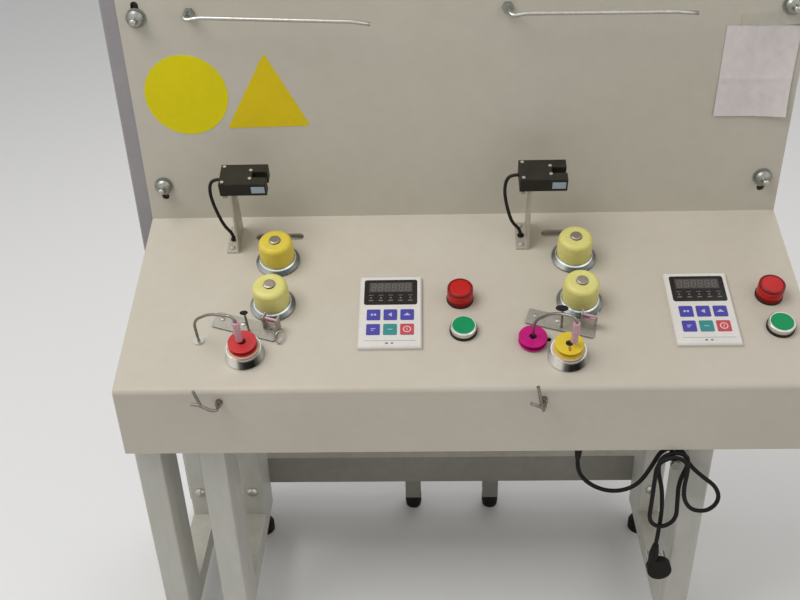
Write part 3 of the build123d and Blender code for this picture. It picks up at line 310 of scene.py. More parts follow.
sheetCoat = {"rough": (0.42, 0.55), "grain": (1300.0, 0.12, 0.0002)}
tubeCoat = {"mottle": (9.0, 80.0, 0.35), "grain": (1100.0, 0.1, 0.0002)}
steel = {"metal": 1.0, "grain": (1500.0, 0.15, 0.00005)}
turnedSteel = {"grain": (700.0, 0.05, 0.00003)}
elastomer = {"mottle": (45.0, 300.0, 0.35), "rough": (0.36, 0.5), "soft": 0.35, "grain": (900.0, 0.1, 0.0001)}
sticker = {"mottle": (20.0, 150.0, 0.35), "gloss": 0.2}
finishes = {
    "deskCoat": look(
        (0.57, 0.525, 0.45), (0.515, 0.47, 0.395), **sheetCoat, mottle=(5.0, 70.0, 0.3),
        edge=(0.0016, 5.0, 0.52, (0.66, 0.63, 0.57)), dust=(0.15, (0.45, 0.39, 0.3)),
    ),
    "panelCoat": look(
        (0.565, 0.535, 0.455), (0.5, 0.47, 0.39), **sheetCoat, mottle=(4.0, 60.0, 0.3),
        edge=(0.0016, 5.0, 0.52, (0.6, 0.58, 0.52)),
    ),
    "frameCoat": look(
        (0.56, 0.555, 0.5), (0.45, 0.44, 0.385), **tubeCoat, stretch=(1.0, 1.0, 0.35), rough=(0.34, 0.52),
        edge=(0.0012, 5.0, 0.55, (0.34, 0.3, 0.24)), dust=(0.45, (0.36, 0.3, 0.22)),
    ),
    # painted shade: the frame paint darkened for the rear stretcher in the shade under the desk; its edges
    # and dust are wear
    "stretcherCoat": look(
        (0.3, 0.29, 0.25), (0.22, 0.21, 0.18), **tubeCoat, rough=(0.38, 0.55),
        edge=(0.0012, 5.0, 0.55, (0.45, 0.42, 0.36)), dust=(0.45, (0.4, 0.35, 0.27)),
    ),
    # the rear post's own lilac grey, darkened further as painted shade
    "postCoat": look(
        (0.33, 0.31, 0.32), (0.27, 0.255, 0.265), **tubeCoat, rough=(0.38, 0.55),
        edge=(0.0012, 5.0, 0.55, (0.45, 0.42, 0.4)),
    ),
    "blackRubber": look(
        (0.009, 0.0085, 0.008), (0.016, 0.015, 0.014), mottle=(30.0, 200.0, 0.4), rough=(0.5, 0.7),
        gloss=0.12, grain=(2500.0, 0.15, 0.0001), dust=(0.05, (0.14, 0.12, 0.095)),
    ),
    "brightSteel": look(
        (0.56, 0.55, 0.51), (0.36, 0.35, 0.32), **steel, mottle=(60.0, 400.0, 0.5), rough=(0.22, 0.42),
        edge=(0.0004, 5.0, 0.5, (0.8, 0.79, 0.77)),
    ),
    "darkSteel": look(
        (0.3, 0.28, 0.25), (0.16, 0.15, 0.13), **steel, mottle=(90.0, 500.0, 0.5), rough=(0.25, 0.45),
        edge=(0.0005, 5.0, 0.5, (0.7, 0.69, 0.67)),
    ),
    "wornSteel": look(
        (0.38, 0.33, 0.27), (0.26, 0.22, 0.18), mottle=(260.0, 900.0, 0.5), rough=(0.35, 0.5), metal=0.9,
        grain=(1500.0, 0.2, 0.00005), edge=(0.0006, 5.0, 0.45, (0.62, 0.6, 0.54)),
    ),
    # cup and hub steel: a dark and a bright colour, mixed by the painted reflection stripes and painted
    # highlight ring round their axis
    "cupSteel": look(
        (0.008, 0.007, 0.0065), (0.95, 0.96, 0.94), **turnedSteel, rough=(0.16, 0.28), metal=0.6,
        strength=1.0, gloss=0.2, edge=(0.0005, 6.0, 0.35, (0.86, 0.86, 0.84)),
    ),
    "hubSteel": look(
        (0.07, 0.085, 0.075), (0.92, 0.94, 0.92), **turnedSteel, rough=(0.2, 0.34), metal=0.7, strength=0.34,
        edge=(0.0005, 6.0, 0.35, (0.8, 0.8, 0.78)),
    ),
    "chrome": look(
        (0.78, 0.77, 0.75), (0.46, 0.45, 0.42), **turnedSteel, mottle=(40.0, 300.0, 0.4), rough=(0.12, 0.26),
        metal=1.0,
    ),
    "yellowElastomer": look(
        (0.78, 0.64, 0.075), (0.66, 0.53, 0.05), **elastomer, edge=(0.0012, 4.0, 0.45, (0.85, 0.76, 0.25)),
    ),
    "paleElastomer": look(
        (0.76, 0.72, 0.26), (0.64, 0.59, 0.17), **elastomer, edge=(0.0012, 4.0, 0.45, (0.84, 0.81, 0.48)),
    ),
    "creamPlastic": look((0.7, 0.54, 0.36), (0.58, 0.42, 0.26), mottle=(80.0, 400.0, 0.4)),
    "redBobbin": look(
        (0.62, 0.022, 0.028), (0.5, 0.014, 0.02), rough=(0.3, 0.45),
        edge=(0.0005, 4.0, 0.5, (0.72, 0.16, 0.14)),
    ),
    "yellowBobbin": look(
        (0.8, 0.6, 0.02), (0.68, 0.49, 0.02), rough=(0.3, 0.45), edge=(0.0005, 4.0, 0.5, (0.85, 0.74, 0.3)),
    ),
    "magentaBobbin": look(
        (0.56, 0.002, 0.2), (0.46, 0.002, 0.16), rough=(0.3, 0.45), gloss=0.25,
        edge=(0.0005, 4.0, 0.5, (0.72, 0.2, 0.42)),
    ),
    "motorCoat": look(
        (0.05, 0.05, 0.055), (0.08, 0.08, 0.08), mottle=(30.0, 200.0, 0.4), rough=(0.4, 0.6),
        edge=(0.0008, 5.0, 0.5, (0.35, 0.35, 0.35)),
    ),
    "pinkCeramic": look(
        (0.52, 0.27, 0.34), (0.6, 0.36, 0.41), mottle=(120.0, 500.0, 0.4), rough=(0.2, 0.32), coat=0.3,
    ),
    "sensorPlastic": look(
        (0.016, 0.0145, 0.011), (0.026, 0.024, 0.018), mottle=(50.0, 300.0, 0.4), rough=(0.4, 0.55),
        gloss=0.18, grain=(1600.0, 0.15, 0.0001), edge=(0.0006, 5.0, 0.45, (0.11, 0.1, 0.085)),
        dust=(0.12, (0.085, 0.075, 0.055)),
    ),
    "galvanised": look(
        (0.42, 0.4, 0.355), (0.28, 0.265, 0.235), mottle=(120.0, 500.0, 0.5), rough=(0.34, 0.55), metal=0.85,
        grain=(400.0, 0.2, 0.0001), edge=(0.0005, 5.0, 0.5, (0.66, 0.64, 0.6)),
    ),
    "dullZinc": look(
        (0.36, 0.37, 0.33), (0.22, 0.225, 0.2), mottle=(150.0, 600.0, 0.5), rough=(0.3, 0.46), metal=0.9,
        grain=(600.0, 0.2, 0.0001), edge=(0.0006, 5.0, 0.45, (0.62, 0.62, 0.58)),
    ),
    "bracketSteel": look(
        (0.5, 0.47, 0.41), (0.4, 0.375, 0.32), mottle=(60.0, 300.0, 0.4), rough=(0.4, 0.55), metal=0.5,
        edge=(0.0006, 5.0, 0.5, (0.7, 0.68, 0.63)),
    ),
    "greyCable": look((0.016, 0.0155, 0.013), (0.028, 0.026, 0.022), rough=(0.45, 0.6), gloss=0.12),
    "counterWhite": look(
        (0.74, 0.72, 0.69), (0.67, 0.65, 0.61), mottle=(25.0, 200.0, 0.35), dust=(0.1, (0.4, 0.36, 0.3)),
    ),
    "darkWindow": look(
        (0.01, 0.0085, 0.0075), (0.015, 0.013, 0.011), mottle=(40.0, 200.0, 0.4), rough=(0.2, 0.3), gloss=0.3,
    ),
    "stripGrey": look((0.08, 0.072, 0.066), (0.062, 0.056, 0.052), gloss=0.3),
    "digitGrey": look((0.2, 0.185, 0.175), (0.15, 0.14, 0.13), gloss=0.3),
    "violetKey": look((0.055, 0.045, 0.36), (0.05, 0.04, 0.3)),
    "tealKey": look((0.022, 0.26, 0.25), (0.02, 0.22, 0.21)),
    "redKey": look((0.56, 0.055, 0.07), (0.48, 0.045, 0.06)),
    "keyMark": look((0.52, 0.5, 0.74), (0.47, 0.45, 0.68)),
    "whiteMark": look((0.74, 0.55, 0.56), (0.7, 0.5, 0.52)),
    "inkMark": look((0.1, 0.09, 0.08), (0.16, 0.14, 0.13)),
    "greenLine": look((0.25, 0.38, 0.28), (0.2, 0.32, 0.23)),
    "blackPlastic": look((0.012, 0.011, 0.0105), (0.022, 0.021, 0.02), mottle=(40.0, 200.0, 0.4), gloss=0.15),
    "redLens": look((0.56, 0.01, 0.008), (0.46, 0.007, 0.006), rough=(0.25, 0.36), gloss=0.3, soft=0.15),
    # painted shade in the red bobbin's bore
    "boreRed": look((0.28, 0.006, 0.014), (0.22, 0.005, 0.012), gloss=0.1),
    "redRim": look((0.2, 0.005, 0.005), (0.15, 0.004, 0.004), rough=(0.25, 0.36), gloss=0.3),
    "greenButton": look((0.002, 0.29, 0.1), (0.002, 0.25, 0.085), rough=(0.3, 0.42), gloss=0.2),
    "blackFelt": look(
        (0.008, 0.0075, 0.0075), (0.018, 0.017, 0.016), mottle=(300.0, 900.0, 0.5), rough=(0.8, 0.95),
        gloss=0.2, grain=(2500.0, 0.5, 0.0003),
    ),
    "yellowSticker": look(
        (0.76, 0.66, 0.003), (0.69, 0.59, 0.003), **sticker, edge=(0.001, 4.0, 0.5, (0.74, 0.68, 0.25)),
    ),
    "amberSticker": look(
        (0.76, 0.585, 0.008), (0.69, 0.52, 0.008), **sticker, edge=(0.001, 4.0, 0.5, (0.72, 0.55, 0.22)),
    ),
    "paper": look(
        (0.75, 0.7, 0.69), (0.62, 0.57, 0.56), mottle=(14.0, 120.0, 0.4), rough=(0.7, 0.85),
        grain=(900.0, 0.15, 0.0002),
    ),
    "clearTape": look((0.47, 0.44, 0.37), (0.54, 0.51, 0.44), mottle=(120.0, 300.0, 0.5), rough=(0.18, 0.3)),
    "streak": look((0.3, 0.12, 0.015), (0.5, 0.28, 0.02), mottle=(400.0, 900.0, 0.5)),
    "blueLabel": look((0.38, 0.46, 0.55), (0.31, 0.39, 0.48), mottle=(150.0, 500.0, 0.5)),
}


def makeFinish(name, s, centre=None, phase=0.0, ring=0.0):
    # with a centre the two colours follow the painted reflection stripes and painted highlight ring of turned
    # metal, else cloudy patches
    coatRough, dustRough = 0.15, 0.35
    material = bpy.data.materials.new(name)
    material.use_nodes = True
    tree = material.node_tree
    tree.nodes.clear()
    scale, fine, share = s["mottle"]
    patches = addGroup(tree, "mottle", Scale=scale, Fine=fine, Share=share, Stretch=s["stretch"])["Value"]
    scale, strength, depth = s["grain"]
    if centre is None:
        tone = patches
        relief = addGroup(tree, "grain", Scale=scale, Stretch=s["stretch"])["Height"]
    else:
        own = {"Centre": tuple(centre), "Phase": phase, "Ring": ring, "Strength": s["strength"]}
        turned = addGroup(tree, "turned", **own)
        tone, relief = turned["Tone"], turned["Rings"]
    paint = mixColours(tree, tone, s["colour"], s["second"])
    low, high = s["rough"]
    rough = mathNode(tree, "ADD", mathNode(tree, "MULTIPLY", patches, high - low), low)
    if "edge" in s:
        width, gain, keep, edgeColour = s["edge"]
        worn = addGroup(tree, "edge", Width=width, Gain=gain, Keep=keep)["Mask"]
        paint = mixColours(tree, worn, paint, edgeColour)
    if "dust" in s:
        amount, dustColour = s["dust"]
        dusty = addGroup(tree, "dust", Amount=amount)["Mask"]
        paint = mixColours(tree, dusty, paint, dustColour)
        rough = mathNode(tree, "ADD", rough, mathNode(tree, "MULTIPLY", dusty, dustRough), clamp=True)

    bump = addNode(tree, "ShaderNodeBump", Strength=strength, Distance=depth, Height=relief)
    shader = addNode(tree, "ShaderNodeBsdfPrincipled", **{
        "Base Color": paint, "Roughness": rough, "Normal": bump.outputs["Normal"], "Metallic": s["metal"],
        "Coat Weight": s["coat"], "Coat Roughness": coatRough, "Specular IOR Level": s["gloss"],
        "Subsurface Weight": s["soft"], "Subsurface Radius": (1.0, 0.7, 0.3), "Subsurface Scale": 0.003,
    })
    addNode(tree, "ShaderNodeOutputMaterial", Surface=shader.outputs["BSDF"])
    return material


materials = {name: makeFinish(name, s) for name, s in finishes.items()}
# turned metal has a finish of its own for each axis, with painted reflection stripes and a painted highlight
# ring round it
axisSpots = {
    "left_spindle_cup": (-0.2436, 0.049), "right_spindle_cup": (0.1109, 0.042),
    "left_lower_roller_hub": (-0.219, 0.121), "left_upper_roller_hub": (-0.219, 0.190),
    "right_lower_roller_hub": (0.1315, 0.121), "right_upper_roller_hub": (0.1315, 0.190),
}
# each kind's finish and the radius of its painted highlight ring
paintedHighlightRings = {"cup": ("cupSteel", 0.0189), "hub": ("hubSteel", 0.0213)}
# the painted reflection stripes of neighbouring axes are turned a little apart
turnStep = 0.02
for index, (nodeName, spot) in enumerate(axisSpots.items()):
    kind, ring = paintedHighlightRings[nodeName[-3:]]
    phase = turnStep * (index % 3 - 1)
    materials[nodeName] = makeFinish("turned" + str(index), finishes[kind], onDesk((*spot, 0.0)), phase, ring)
print("stage: materials")

# finish of each CAD node: that of its slot in the record, apart from these
nodeFinish = {
    "back_panel": "panelCoat", "panel_cap_nuts": "dullZinc", "guide_rod_nuts": "dullZinc",
    "push_button_rings": "chrome", "roller_fasteners": "wornSteel", "rear_stretcher": "stretcherCoat",
    "rear_post": "postCoat", "thread_guides": "darkSteel", "cord_hook": "darkSteel",
    "left_guide_arm": "darkSteel", "right_guide_arm": "darkSteel",
    "sensor_screws": "bracketSteel", "sensor_brackets": "bracketSteel",
    "left_lower_roller_sleeve": "paleElastomer", "right_lower_roller_sleeve": "paleElastomer",
    "right_upper_roller_sleeve": "paleElastomer", **{name: name for name in axisSpots},
}


def slotFinish(slot):
    # black_rubber has the finish blackRubber
    first, *others = slot.split("_")
    return first + "".join(word.capitalize() for word in others)


for part in frame["record"]["subparts"]:
    node = frame["nodes"][part["node"]]
    node.data.materials.clear()
    node.data.materials.append(materials[nodeFinish.get(part["node"], slotFinish(part["material_slot"]))])


# ---- mesh helpers
def newPiece(name, vertices, faces, finish, body="stand", smooth=True):
    mesh = bpy.data.meshes.new(name)
    mesh.from_pydata(np.asarray(vertices, float).tolist(), [], faces)
    work = bmesh.new()
    work.from_mesh(mesh)
    bmesh.ops.remove_doubles(work, verts=work.verts, dist=1e-7)
    work.to_mesh(mesh)
    work.free()
    mesh.validate()
    if smooth:
        mesh.polygons.foreach_set("use_smooth", [True] * len(mesh.polygons))
    mesh.materials.append(materials[finish])
    piece = newObject(name, mesh)
    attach(piece, body)
    return piece


def gridFaces(rows, columns, wrapRows=False, wrapColumns=False):
    # four corners of each cell of a rows by columns grid, counted row by row
    row = np.arange(rows if wrapRows else rows - 1)
    column = np.arange(columns if wrapColumns else columns - 1)
    r, c = np.meshgrid(row, column, indexing="ij")
    nextRow, nextColumn = (r + 1) % rows, (c + 1) % columns
    corners = np.stack(
        [r * columns + c, r * columns + nextColumn, nextRow * columns + nextColumn, nextRow * columns + c], -1
    )
    return corners.reshape(-1, 4).tolist()


def around(count):
    # angles of a full turn, as cosines and sines
    angle = np.linspace(0.0, 2.0 * math.pi, count, endpoint=False)
    return np.cos(angle), np.sin(angle)


def softCorner(start, here, end, steps):
    # a curve from start to end that bends at the corner between them
    return [(1 - t) ** 2 * start + 2 * t * (1 - t) * here + t * t * end for t in np.linspace(0.0, 1.0, steps)]


def roundedProfile(corners, steps=5):
    # corners are (radius, height, rounding); a curve takes at most this share of a side
    line, most = [], 0.48
    for i, (r, h, bend) in enumerate(corners):
        here = np.array([r, h])
        if bend <= 0 or i in (0, len(corners) - 1):
            line.append(here)
            continue
        sides = [np.array(corners[k][:2]) - here for k in (i - 1, i + 1)]
        lengths = [np.linalg.norm(side) for side in sides]
        reach = min(bend, most * lengths[0], most * lengths[1])
        start, end = (here + side / length * reach for side, length in zip(sides, lengths))
        line += softCorner(start, here, end, steps)
    return np.array(line)


def lathePiece(name, corners, spot, finish, body="stand", turns=48, axes=deskAxes):
    # the rounded profile goes round the third axis
    radius, height = roundedProfile(corners).T[:, :, None]
    cosines, sines = around(turns)
    ring = np.stack([radius * cosines, radius * sines, height + 0.0 * cosines], -1)
    points = placed(ring.reshape(-1, 3), spot, axes)
    return newPiece(name, points, gridFaces(len(radius), turns, wrapColumns=True), finish, body)


def joined(name, parts, finish, place=None, smooth=False):
    # parts are (points, faces) pairs, gathered in one mesh of the stand; place carries their points there
    vertices, faces, start = [], [], 0
    for points, partFaces in parts:
        points = np.asarray(points, float).reshape(-1, 3)
        vertices.append(points)
        faces += [[index + start for index in face] for face in partFaces]
        start += len(points)
    points = np.concatenate(vertices)
    return newPiece(name, place(points) if place else points, faces, finish, smooth=smooth)


def slab(outline, low, high):
    # an outline in the first two axes, raised from low to high in the third
    outline = np.asarray(outline, float)
    count = len(outline)
    points = [np.column_stack([outline, np.full(count, level)]) for level in (low, high)]
    sides = gridFaces(2, count, wrapColumns=True)
    return np.concatenate(points), sides + [list(range(count, 2 * count)), list(range(count))[::-1]]


def rectangle(x, y, width, length, turn=0.0):
    halfX, halfY = width / 2, length / 2
    corners = np.array([(-halfX, -halfY), (halfX, -halfY), (halfX, halfY), (-halfX, halfY)])
    spin = np.array([[math.cos(turn), math.sin(turn)], [-math.sin(turn), math.cos(turn)]])
    return corners @ spin + (x, y)


def box(x, y, width, length, low, high, turn=0.0):
    return slab(rectangle(x, y, width, length, turn), low, high)


def disc(x, y, radius, count):
    cosines, sines = around(count)
    return np.column_stack([x + radius * cosines, y + radius * sines])


def roundedBox(x, y, width, length, radius, low, high, steps=5):
    outline = []
    for k, (sideX, sideY) in enumerate(((1, 1), (-1, 1), (-1, -1), (1, -1))):
        angle = np.linspace(0.5 * math.pi * k, 0.5 * math.pi * (k + 1), steps)
        outline.append(np.column_stack([
            x + sideX * (width / 2 - radius) + radius * np.cos(angle),
            y + sideY * (length / 2 - radius) + radius * np.sin(angle),
        ]))
    return slab(np.concatenate(outline), low, high)


def ringSlab(x, y, inner, outer, low, high, count=40):
    spots = ((inner, low), (outer, low), (outer, high), (inner, high))
    grid = [np.column_stack([disc(x, y, r, count), np.full(count, h)]) for r, h in spots]
    return np.concatenate(grid), gridFaces(4, count, wrapRows=True, wrapColumns=True)


def smoothLine(points, count):
    # a line through the points, by Catmull and Rom's weights
    points = np.asarray(points, float)
    padded = np.concatenate([[2 * points[0] - points[1]], points, [2 * points[-1] - points[-2]]])
    place = np.linspace(0.0, len(points) - 1.0, count)
    cell = np.minimum(place.astype(int), len(points) - 2)
    t = (place - cell)[:, None]
    a, b, c, d = (padded[cell + k] for k in range(4))
    return 0.5 * (2 * b + (c - a) * t + (2 * a - 5 * b + 4 * c - d) * t**2 + (3 * b - a - 3 * c + d) * t**3)


def tubeGrid(line, radius, reference, sides):
    # rings across the line; the radius is one number or one for each point; the ends are closed
    line = np.asarray(line, float)
    radius = np.full(len(line), radius) if np.isscalar(radius) else np.asarray(radius, float)
    way = np.gradient(line, axis=0)
    way /= np.linalg.norm(way, axis=1)[:, None]
    line, way = (np.concatenate([rows[:1], rows, rows[-1:]]) for rows in (line, way))
    radius = np.concatenate([[0.0], radius, [0.0]])
    across = np.cross(way, reference)
    across /= np.linalg.norm(across, axis=1)[:, None]
    other = np.cross(way, across)
    cosines, sines = (values[None, :, None] for values in around(sides))
    ring = cosines * across[:, None, :] + sines * other[:, None, :]
    points = line[:, None, :] + radius[:, None, None] * ring
    return points.reshape(-1, 3), gridFaces(len(line), sides, wrapColumns=True)


# ---- cords: the same route points as the solids, in millimetres, as smooth lines
powerCord = {
    "route": [
        (127, 15, -112), (127, 15, -125), (133, 14.5, -141), (146, 14, -154),
        (163.5, 13, -161.5), (183, 12, -160), (199.5, 11, -147.5), (210.5, 10.3, -121),
        (219.5, 10, -94.5), (241, 10, -94.3), (251, 9, -117.5), (268, 8, -135),
        (286, 7, -150), (292, 5, -169), (281, 3.5, -185), (261.5, 2, -182.5),
        (250, -1, -165), (246, -4, -143), (246.5, -5.5, -121), (246.3, -6, -102.3),
        (229, -6, -92.2), (211.7, -6, -102.3), (211.5, -5.5, -128), (211.8, -5, -163),
        (211.5, -4, -194), (227.5, -2, -206.5), (244.5, 0.5, -196), (243, 2, -168),
        (241, 2.5, -138), (251, 2.2, -103), (233, 2, -91.8), (215.5, 2, -103),
        (216.5, 2.5, -124), (224, 3.5, -150), (227.5, 4, -185), (227.2, 4, -215),
        (226.3, 4, -240),
    ],
    "diameter": 0.005,
    "length": 0.821,
}
sensorCable = {
    "diameter": 0.004, "length": 0.106, "exitU": -27.25, "exitV": 238.0, "height": 89.0,
    "footU": -8.5, "footV": 226.0, "footHeights": (11.0, -2.0),
    "bow": [
        (0, 0, 0), (-8.5, 0, 0), (-14.2, -1, -6.5), (-15.8, -3, -20), (-13.8, -5, -36),
        (-9.5, -7.5, -54), (-4.6, -9.7, -68),
    ],
}
sensorPlaces = {"left": (-11.8, -26.7), "right": (-17.3, -30.0)}  # housing and bracket, along the desk


def cordCurve(name, points, diameter, finish, body):
    data = bpy.data.curves.new(name, "CURVE")
    data.dimensions = "3D"
    data.bevel_depth = diameter / 2
    data.bevel_resolution = 5
    data.resolution_u = 8
    data.use_fill_caps = True
    spline = data.splines.new("NURBS")
    spline.points.add(len(points) - 1)
    for spot, point in zip(points, spline.points):
        point.co = (*spot, 1.0)
    spline.order_u = 3
    spline.use_endpoint_u = True
    data.materials.append(materials[finish])
    cord = newObject(name, data)
    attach(cord, body)
    return cord


def makePowerCord(s):
    points = deskCorner + np.array(s["route"]) / 1000.0
    cord = cordCurve("powerCord", points, s["diameter"], "blackRubber", "stand")
    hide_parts("power_cord")


def makeSensorCable(side, s):
    housing, bracket = sensorPlaces[side]
    station = stations[side] * 1000.0
    start = np.array([station + housing + s["exitU"], s["exitV"], s["height"]])
    foot = [(station + bracket + s["footU"], s["footV"], height) for height in s["footHeights"]]
    points = onDesk(np.concatenate([start + np.array(s["bow"]), foot]) / 1000.0)
    cable = cordCurve(side + "SensorCable", points, s["diameter"], "greyCable", "stand")
    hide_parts(side + "_sensor_cable")


makePowerCord(powerCord)
for sideName in stations:
    makeSensorCable(sideName, sensorCable)
print("stage: cords")

# ---- stickers and the sheet of paper on the panel
stickers = {
    "thickness": 0.0003, "disc": (-0.3184, 0.1613, 0.0485), "turns": 96,
    "corners": ((-0.2240, 0.2100), (-0.1765, 0.1210), (-0.2745, 0.1195)), "rounding": 0.004, "steps": 6,
}


def makeStickers(s):
    circle = slab(disc(*s["disc"], s["turns"]), 0.0, s["thickness"])
    joined("roundSticker", [circle], "yellowSticker", onPanel)
    corners = np.array(s["corners"])
    outline = []
    for i, here in enumerate(corners):
        sides = [corners[(i + step) % 3] - here for step in (-1, 1)]
        start, end = (here + side / np.linalg.norm(side) * s["rounding"] for side in sides)
        outline += softCorner(start, here, end, s["steps"])
    joined("triangleSticker", [slab(outline[::-1], 0.0, s["thickness"])], "amberSticker", onPanel)


note = {
    "x": (0.293, 0.375), "z": (0.1245, 0.231), "cells": (36, 44), "shear": (0.0015, 0.0012), "rise": 0.0004,
    "curl": 0.0035, "ripple": 0.0003, "waves": 0.0008, "folds": (0.0006, 0.0005),
    "tape": (0.345, 0.2378, 0.072, 0.014, 0.0, 0.0011, 0.02),
}


def makeNote(s):
    # a sheet that lies on the panel, with its lower corners and right edge lifting, soft waves and two folds
    a, b = np.meshgrid(*(np.linspace(0.0, 1.0, count) for count in s["cells"]), indexing="ij")
    lift = s["curl"] * ((1 - b) ** 4 * (0.4 + a**3) + 0.35 * a**6) + s["ripple"] * np.sin(9 * a + 5 * b)
    lift += s["waves"] * (1.0 + np.sin(19.0 * a + 2.5 * b)) * np.clip(b - 0.45, 0.0, 1.0)
    lift += s["folds"][0] * np.exp(-(((a - 0.62 + 0.15 * b) / 0.05) ** 2))
    lift += s["folds"][1] * np.exp(-(((b - 0.42) / 0.03) ** 2))
    x = s["x"][0] + a * (s["x"][1] - s["x"][0]) + s["shear"][0] * (b - 0.5)
    z = s["z"][0] + b * (s["z"][1] - s["z"][0]) - s["shear"][1] * (a - 0.5)
    grid = np.stack([x, z, s["rise"] + lift], -1).reshape(-1, 3)
    newPiece("paperNote", onPanel(grid), gridFaces(*s["cells"]), "paper")
    joined("noteTape", [box(*s["tape"])], "clearTape", onPanel)


makeStickers(stickers)
makeNote(note)
print("stage: panel stickers")

# ---- counters: digits, small marks, key colours and their signs
counter = {
    "u": 0.157, "v": 0.106, "window": 0.0051, "windowShift": 0.0282, "keyTop": 0.0055, "face": 0.005,
    "strip": (0.0495, 0.0145, 0.00006), "stripShift": 0.0075,
    # seven strokes of a digit: place, width and length
    "strokes": (
        (0.0, 0.005, 0.0036, 0.0008), (0.0, 0.0, 0.0036, 0.0008), (0.0, -0.005, 0.0036, 0.0008),
        (-0.0022, 0.0025, 0.0008, 0.0042), (0.0022, 0.0025, 0.0008, 0.0042),
        (-0.0022, -0.0025, 0.0008, 0.0042), (0.0022, -0.0025, 0.0008, 0.0042),
    ),
    "digits": 6, "firstDigit": -0.0195, "digitPitch": 0.0078, "digitLean": 0.08, "digitRise": 0.00016,
    "marks": 5, "firstMark": -0.0225, "markPitch": 0.01125, "markRise": 0.0001,
    "bars": ((-0.0045, 0.0052, 0.0008), (-0.0125, 0.0052, 0.0014)), "dot": (-0.0085, 0.0011, 16),
    "keyShift": -0.0166, "columnPitch": 0.019, "rowPitch": 0.0214, "key": (0.0153, 0.0155, 0.0016),
    "keyRise": 0.00012, "signRise": 0.00008,
    "keyColours": ("violetKey", "violetKey", "violetKey", "violetKey", "tealKey", "redKey"),
    # signs from the middle of a key: two squares on the first, two bars on the fourth, one on the fifth
    "signs": (
        (0, -0.0018, 0.0, 0.0024, 0.0028), (0, 0.0018, 0.0, 0.0024, 0.0028), (3, 0.0, 0.001, 0.0052, 0.0010),
        (3, -0.001, -0.0014, 0.0030, 0.0010), (4, 0.0, 0.0, 0.0056, 0.0010),
    ),
    # a triangle to the left on the second key and one upwards on the third, a ring with a bar on the last
    "arrows": (
        (1, ((-0.0028, 0.0), (0.0018, -0.0030), (0.0018, 0.0030))),
        (2, ((-0.0042, -0.0014), (0.0042, -0.0014), (0.0, 0.0024))),
    ),
    "ring": (0.0034, 0.0046), "ringBar": (0.0009, 0.0036),
    "line": (0.0, -0.0432, 0.058, 0.0006), "printRise": 0.0001,
    "ink": ((-0.0035, -0.0468, 0.0030, 0.0020, 0.3), (0.0025, -0.0468, 0.0026, 0.0020, -0.2)),
}


def makeCounter(side, s):
    centre = np.array([stations[side] + s["u"], s["v"], 0.0])

    def put(name, parts, finish):
        joined(side + name, parts, finish, lambda points: onDesk(points + centre))

    # a grey strip with six digits, over rows of small marks
    glass, middle = s["window"], s["windowShift"]
    width, length, rise = s["strip"]
    digitMiddle = middle + s["stripShift"]
    put("CounterStrip", [box(0.0, digitMiddle, width, length, glass, glass + rise)], "stripGrey")
    digits, marks = [], []
    for k in range(s["digits"]):
        x = s["firstDigit"] + s["digitPitch"] * k
        for dx, dy, width, length in s["strokes"]:
            spot = (x + dx + s["digitLean"] * dy, digitMiddle + dy)
            digits.append(box(*spot, width, length, glass, glass + s["digitRise"]))
    put("CounterDigits", digits, "digitGrey")
    markTop = glass + s["markRise"]
    dotShift, dotRadius, dotTurns = s["dot"]
    for k in range(s["marks"]):
        x = s["firstMark"] + s["markPitch"] * k
        marks += [box(x, middle + shift, width, length, glass, markTop) for shift, width, length in s["bars"]]
        marks.append(slab(disc(x, middle + dotShift, dotRadius, dotTurns), glass, markTop))
    put("CounterMarks", marks, "digitGrey")

    # key faces by colour, and their plain signs
    low, high = s["keyTop"], s["keyTop"] + s["keyRise"]
    sign = high + s["signRise"]
    spots = [
        (s["columnPitch"] * i, s["keyShift"] + s["rowPitch"] * j) for j in (0.5, -0.5) for i in (-1, 0, 1)
    ]
    for colour in ("violetKey", "tealKey", "redKey"):
        own = [spot for spot, keyColour in zip(spots, s["keyColours"]) if keyColour == colour]
        put("CounterKeys" + colour, [roundedBox(*spot, *s["key"], low, high) for spot in own], colour)
    signs = [
        box(spots[key][0] + dx, spots[key][1] + dy, width, length, high, sign)
        for key, dx, dy, width, length in s["signs"]
    ]
    signs += [slab(np.array(arrow) + spots[key], high, sign) for key, arrow in s["arrows"]]
    put("CounterSigns", signs, "keyMark")
    last = spots[-1]
    ring, bar = ringSlab(*last, *s["ring"], high, sign), box(*last, *s["ringBar"], high, sign)
    put("CounterRing", [ring, bar], "whiteMark")
    face, printTop = s["face"], s["face"] + s["printRise"]
    put("CounterLine", [box(*s["line"], face, printTop)], "greenLine")
    put("CounterInk", [box(*spot, face, printTop, turn) for *spot, turn in s["ink"]], "inkMark")


for sideName in stations:
    makeCounter(sideName, counter)
print("stage: counters")

# ---- pilot lamps: a red cap with a raised rim
lamp = {"u": 0.2364, "v": 0.127, "low": 0.003, "top": 0.020, "radius": 0.0146, "rim": 0.0022, "dip": 0.0006}


def makeLamp(side, s):
    centre = onDesk((stations[side] + s["u"], s["v"], 0.0))
    r, top, rim = s["radius"], s["top"], s["rim"]
    inner, dish = r - rim, top - s["dip"]
    lens = [
        (0.0, s["low"], 0), (r + 0.0003, s["low"], 0), (r, top - 0.001, 0), (inner, top - 0.001, 0),
        (inner, dish, 0), (inner - 0.0012, dish + 0.0003, 0.0004), (0.0, dish + 0.0003, 0),
    ]
    piece = lathePiece(side + "LampLens", lens, centre, "redLens")
    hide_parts("pilot_lamp_lenses")
    edge = [
        (inner, top - 0.0012, 0), (inner, top - 0.0001, 0.0003), (inner + 0.0006, top, 0.0003),
        (r - 0.0007, top, 0.0005), (r + 0.00005, top - 0.0009, 0.0004), (r + 0.0001, top - 0.0030, 0),
    ]
    rimPiece = lathePiece(side + "LampRim", edge, centre, "redRim")


for sideName in stations:
    makeLamp(sideName, lamp)
print("stage: lamps")
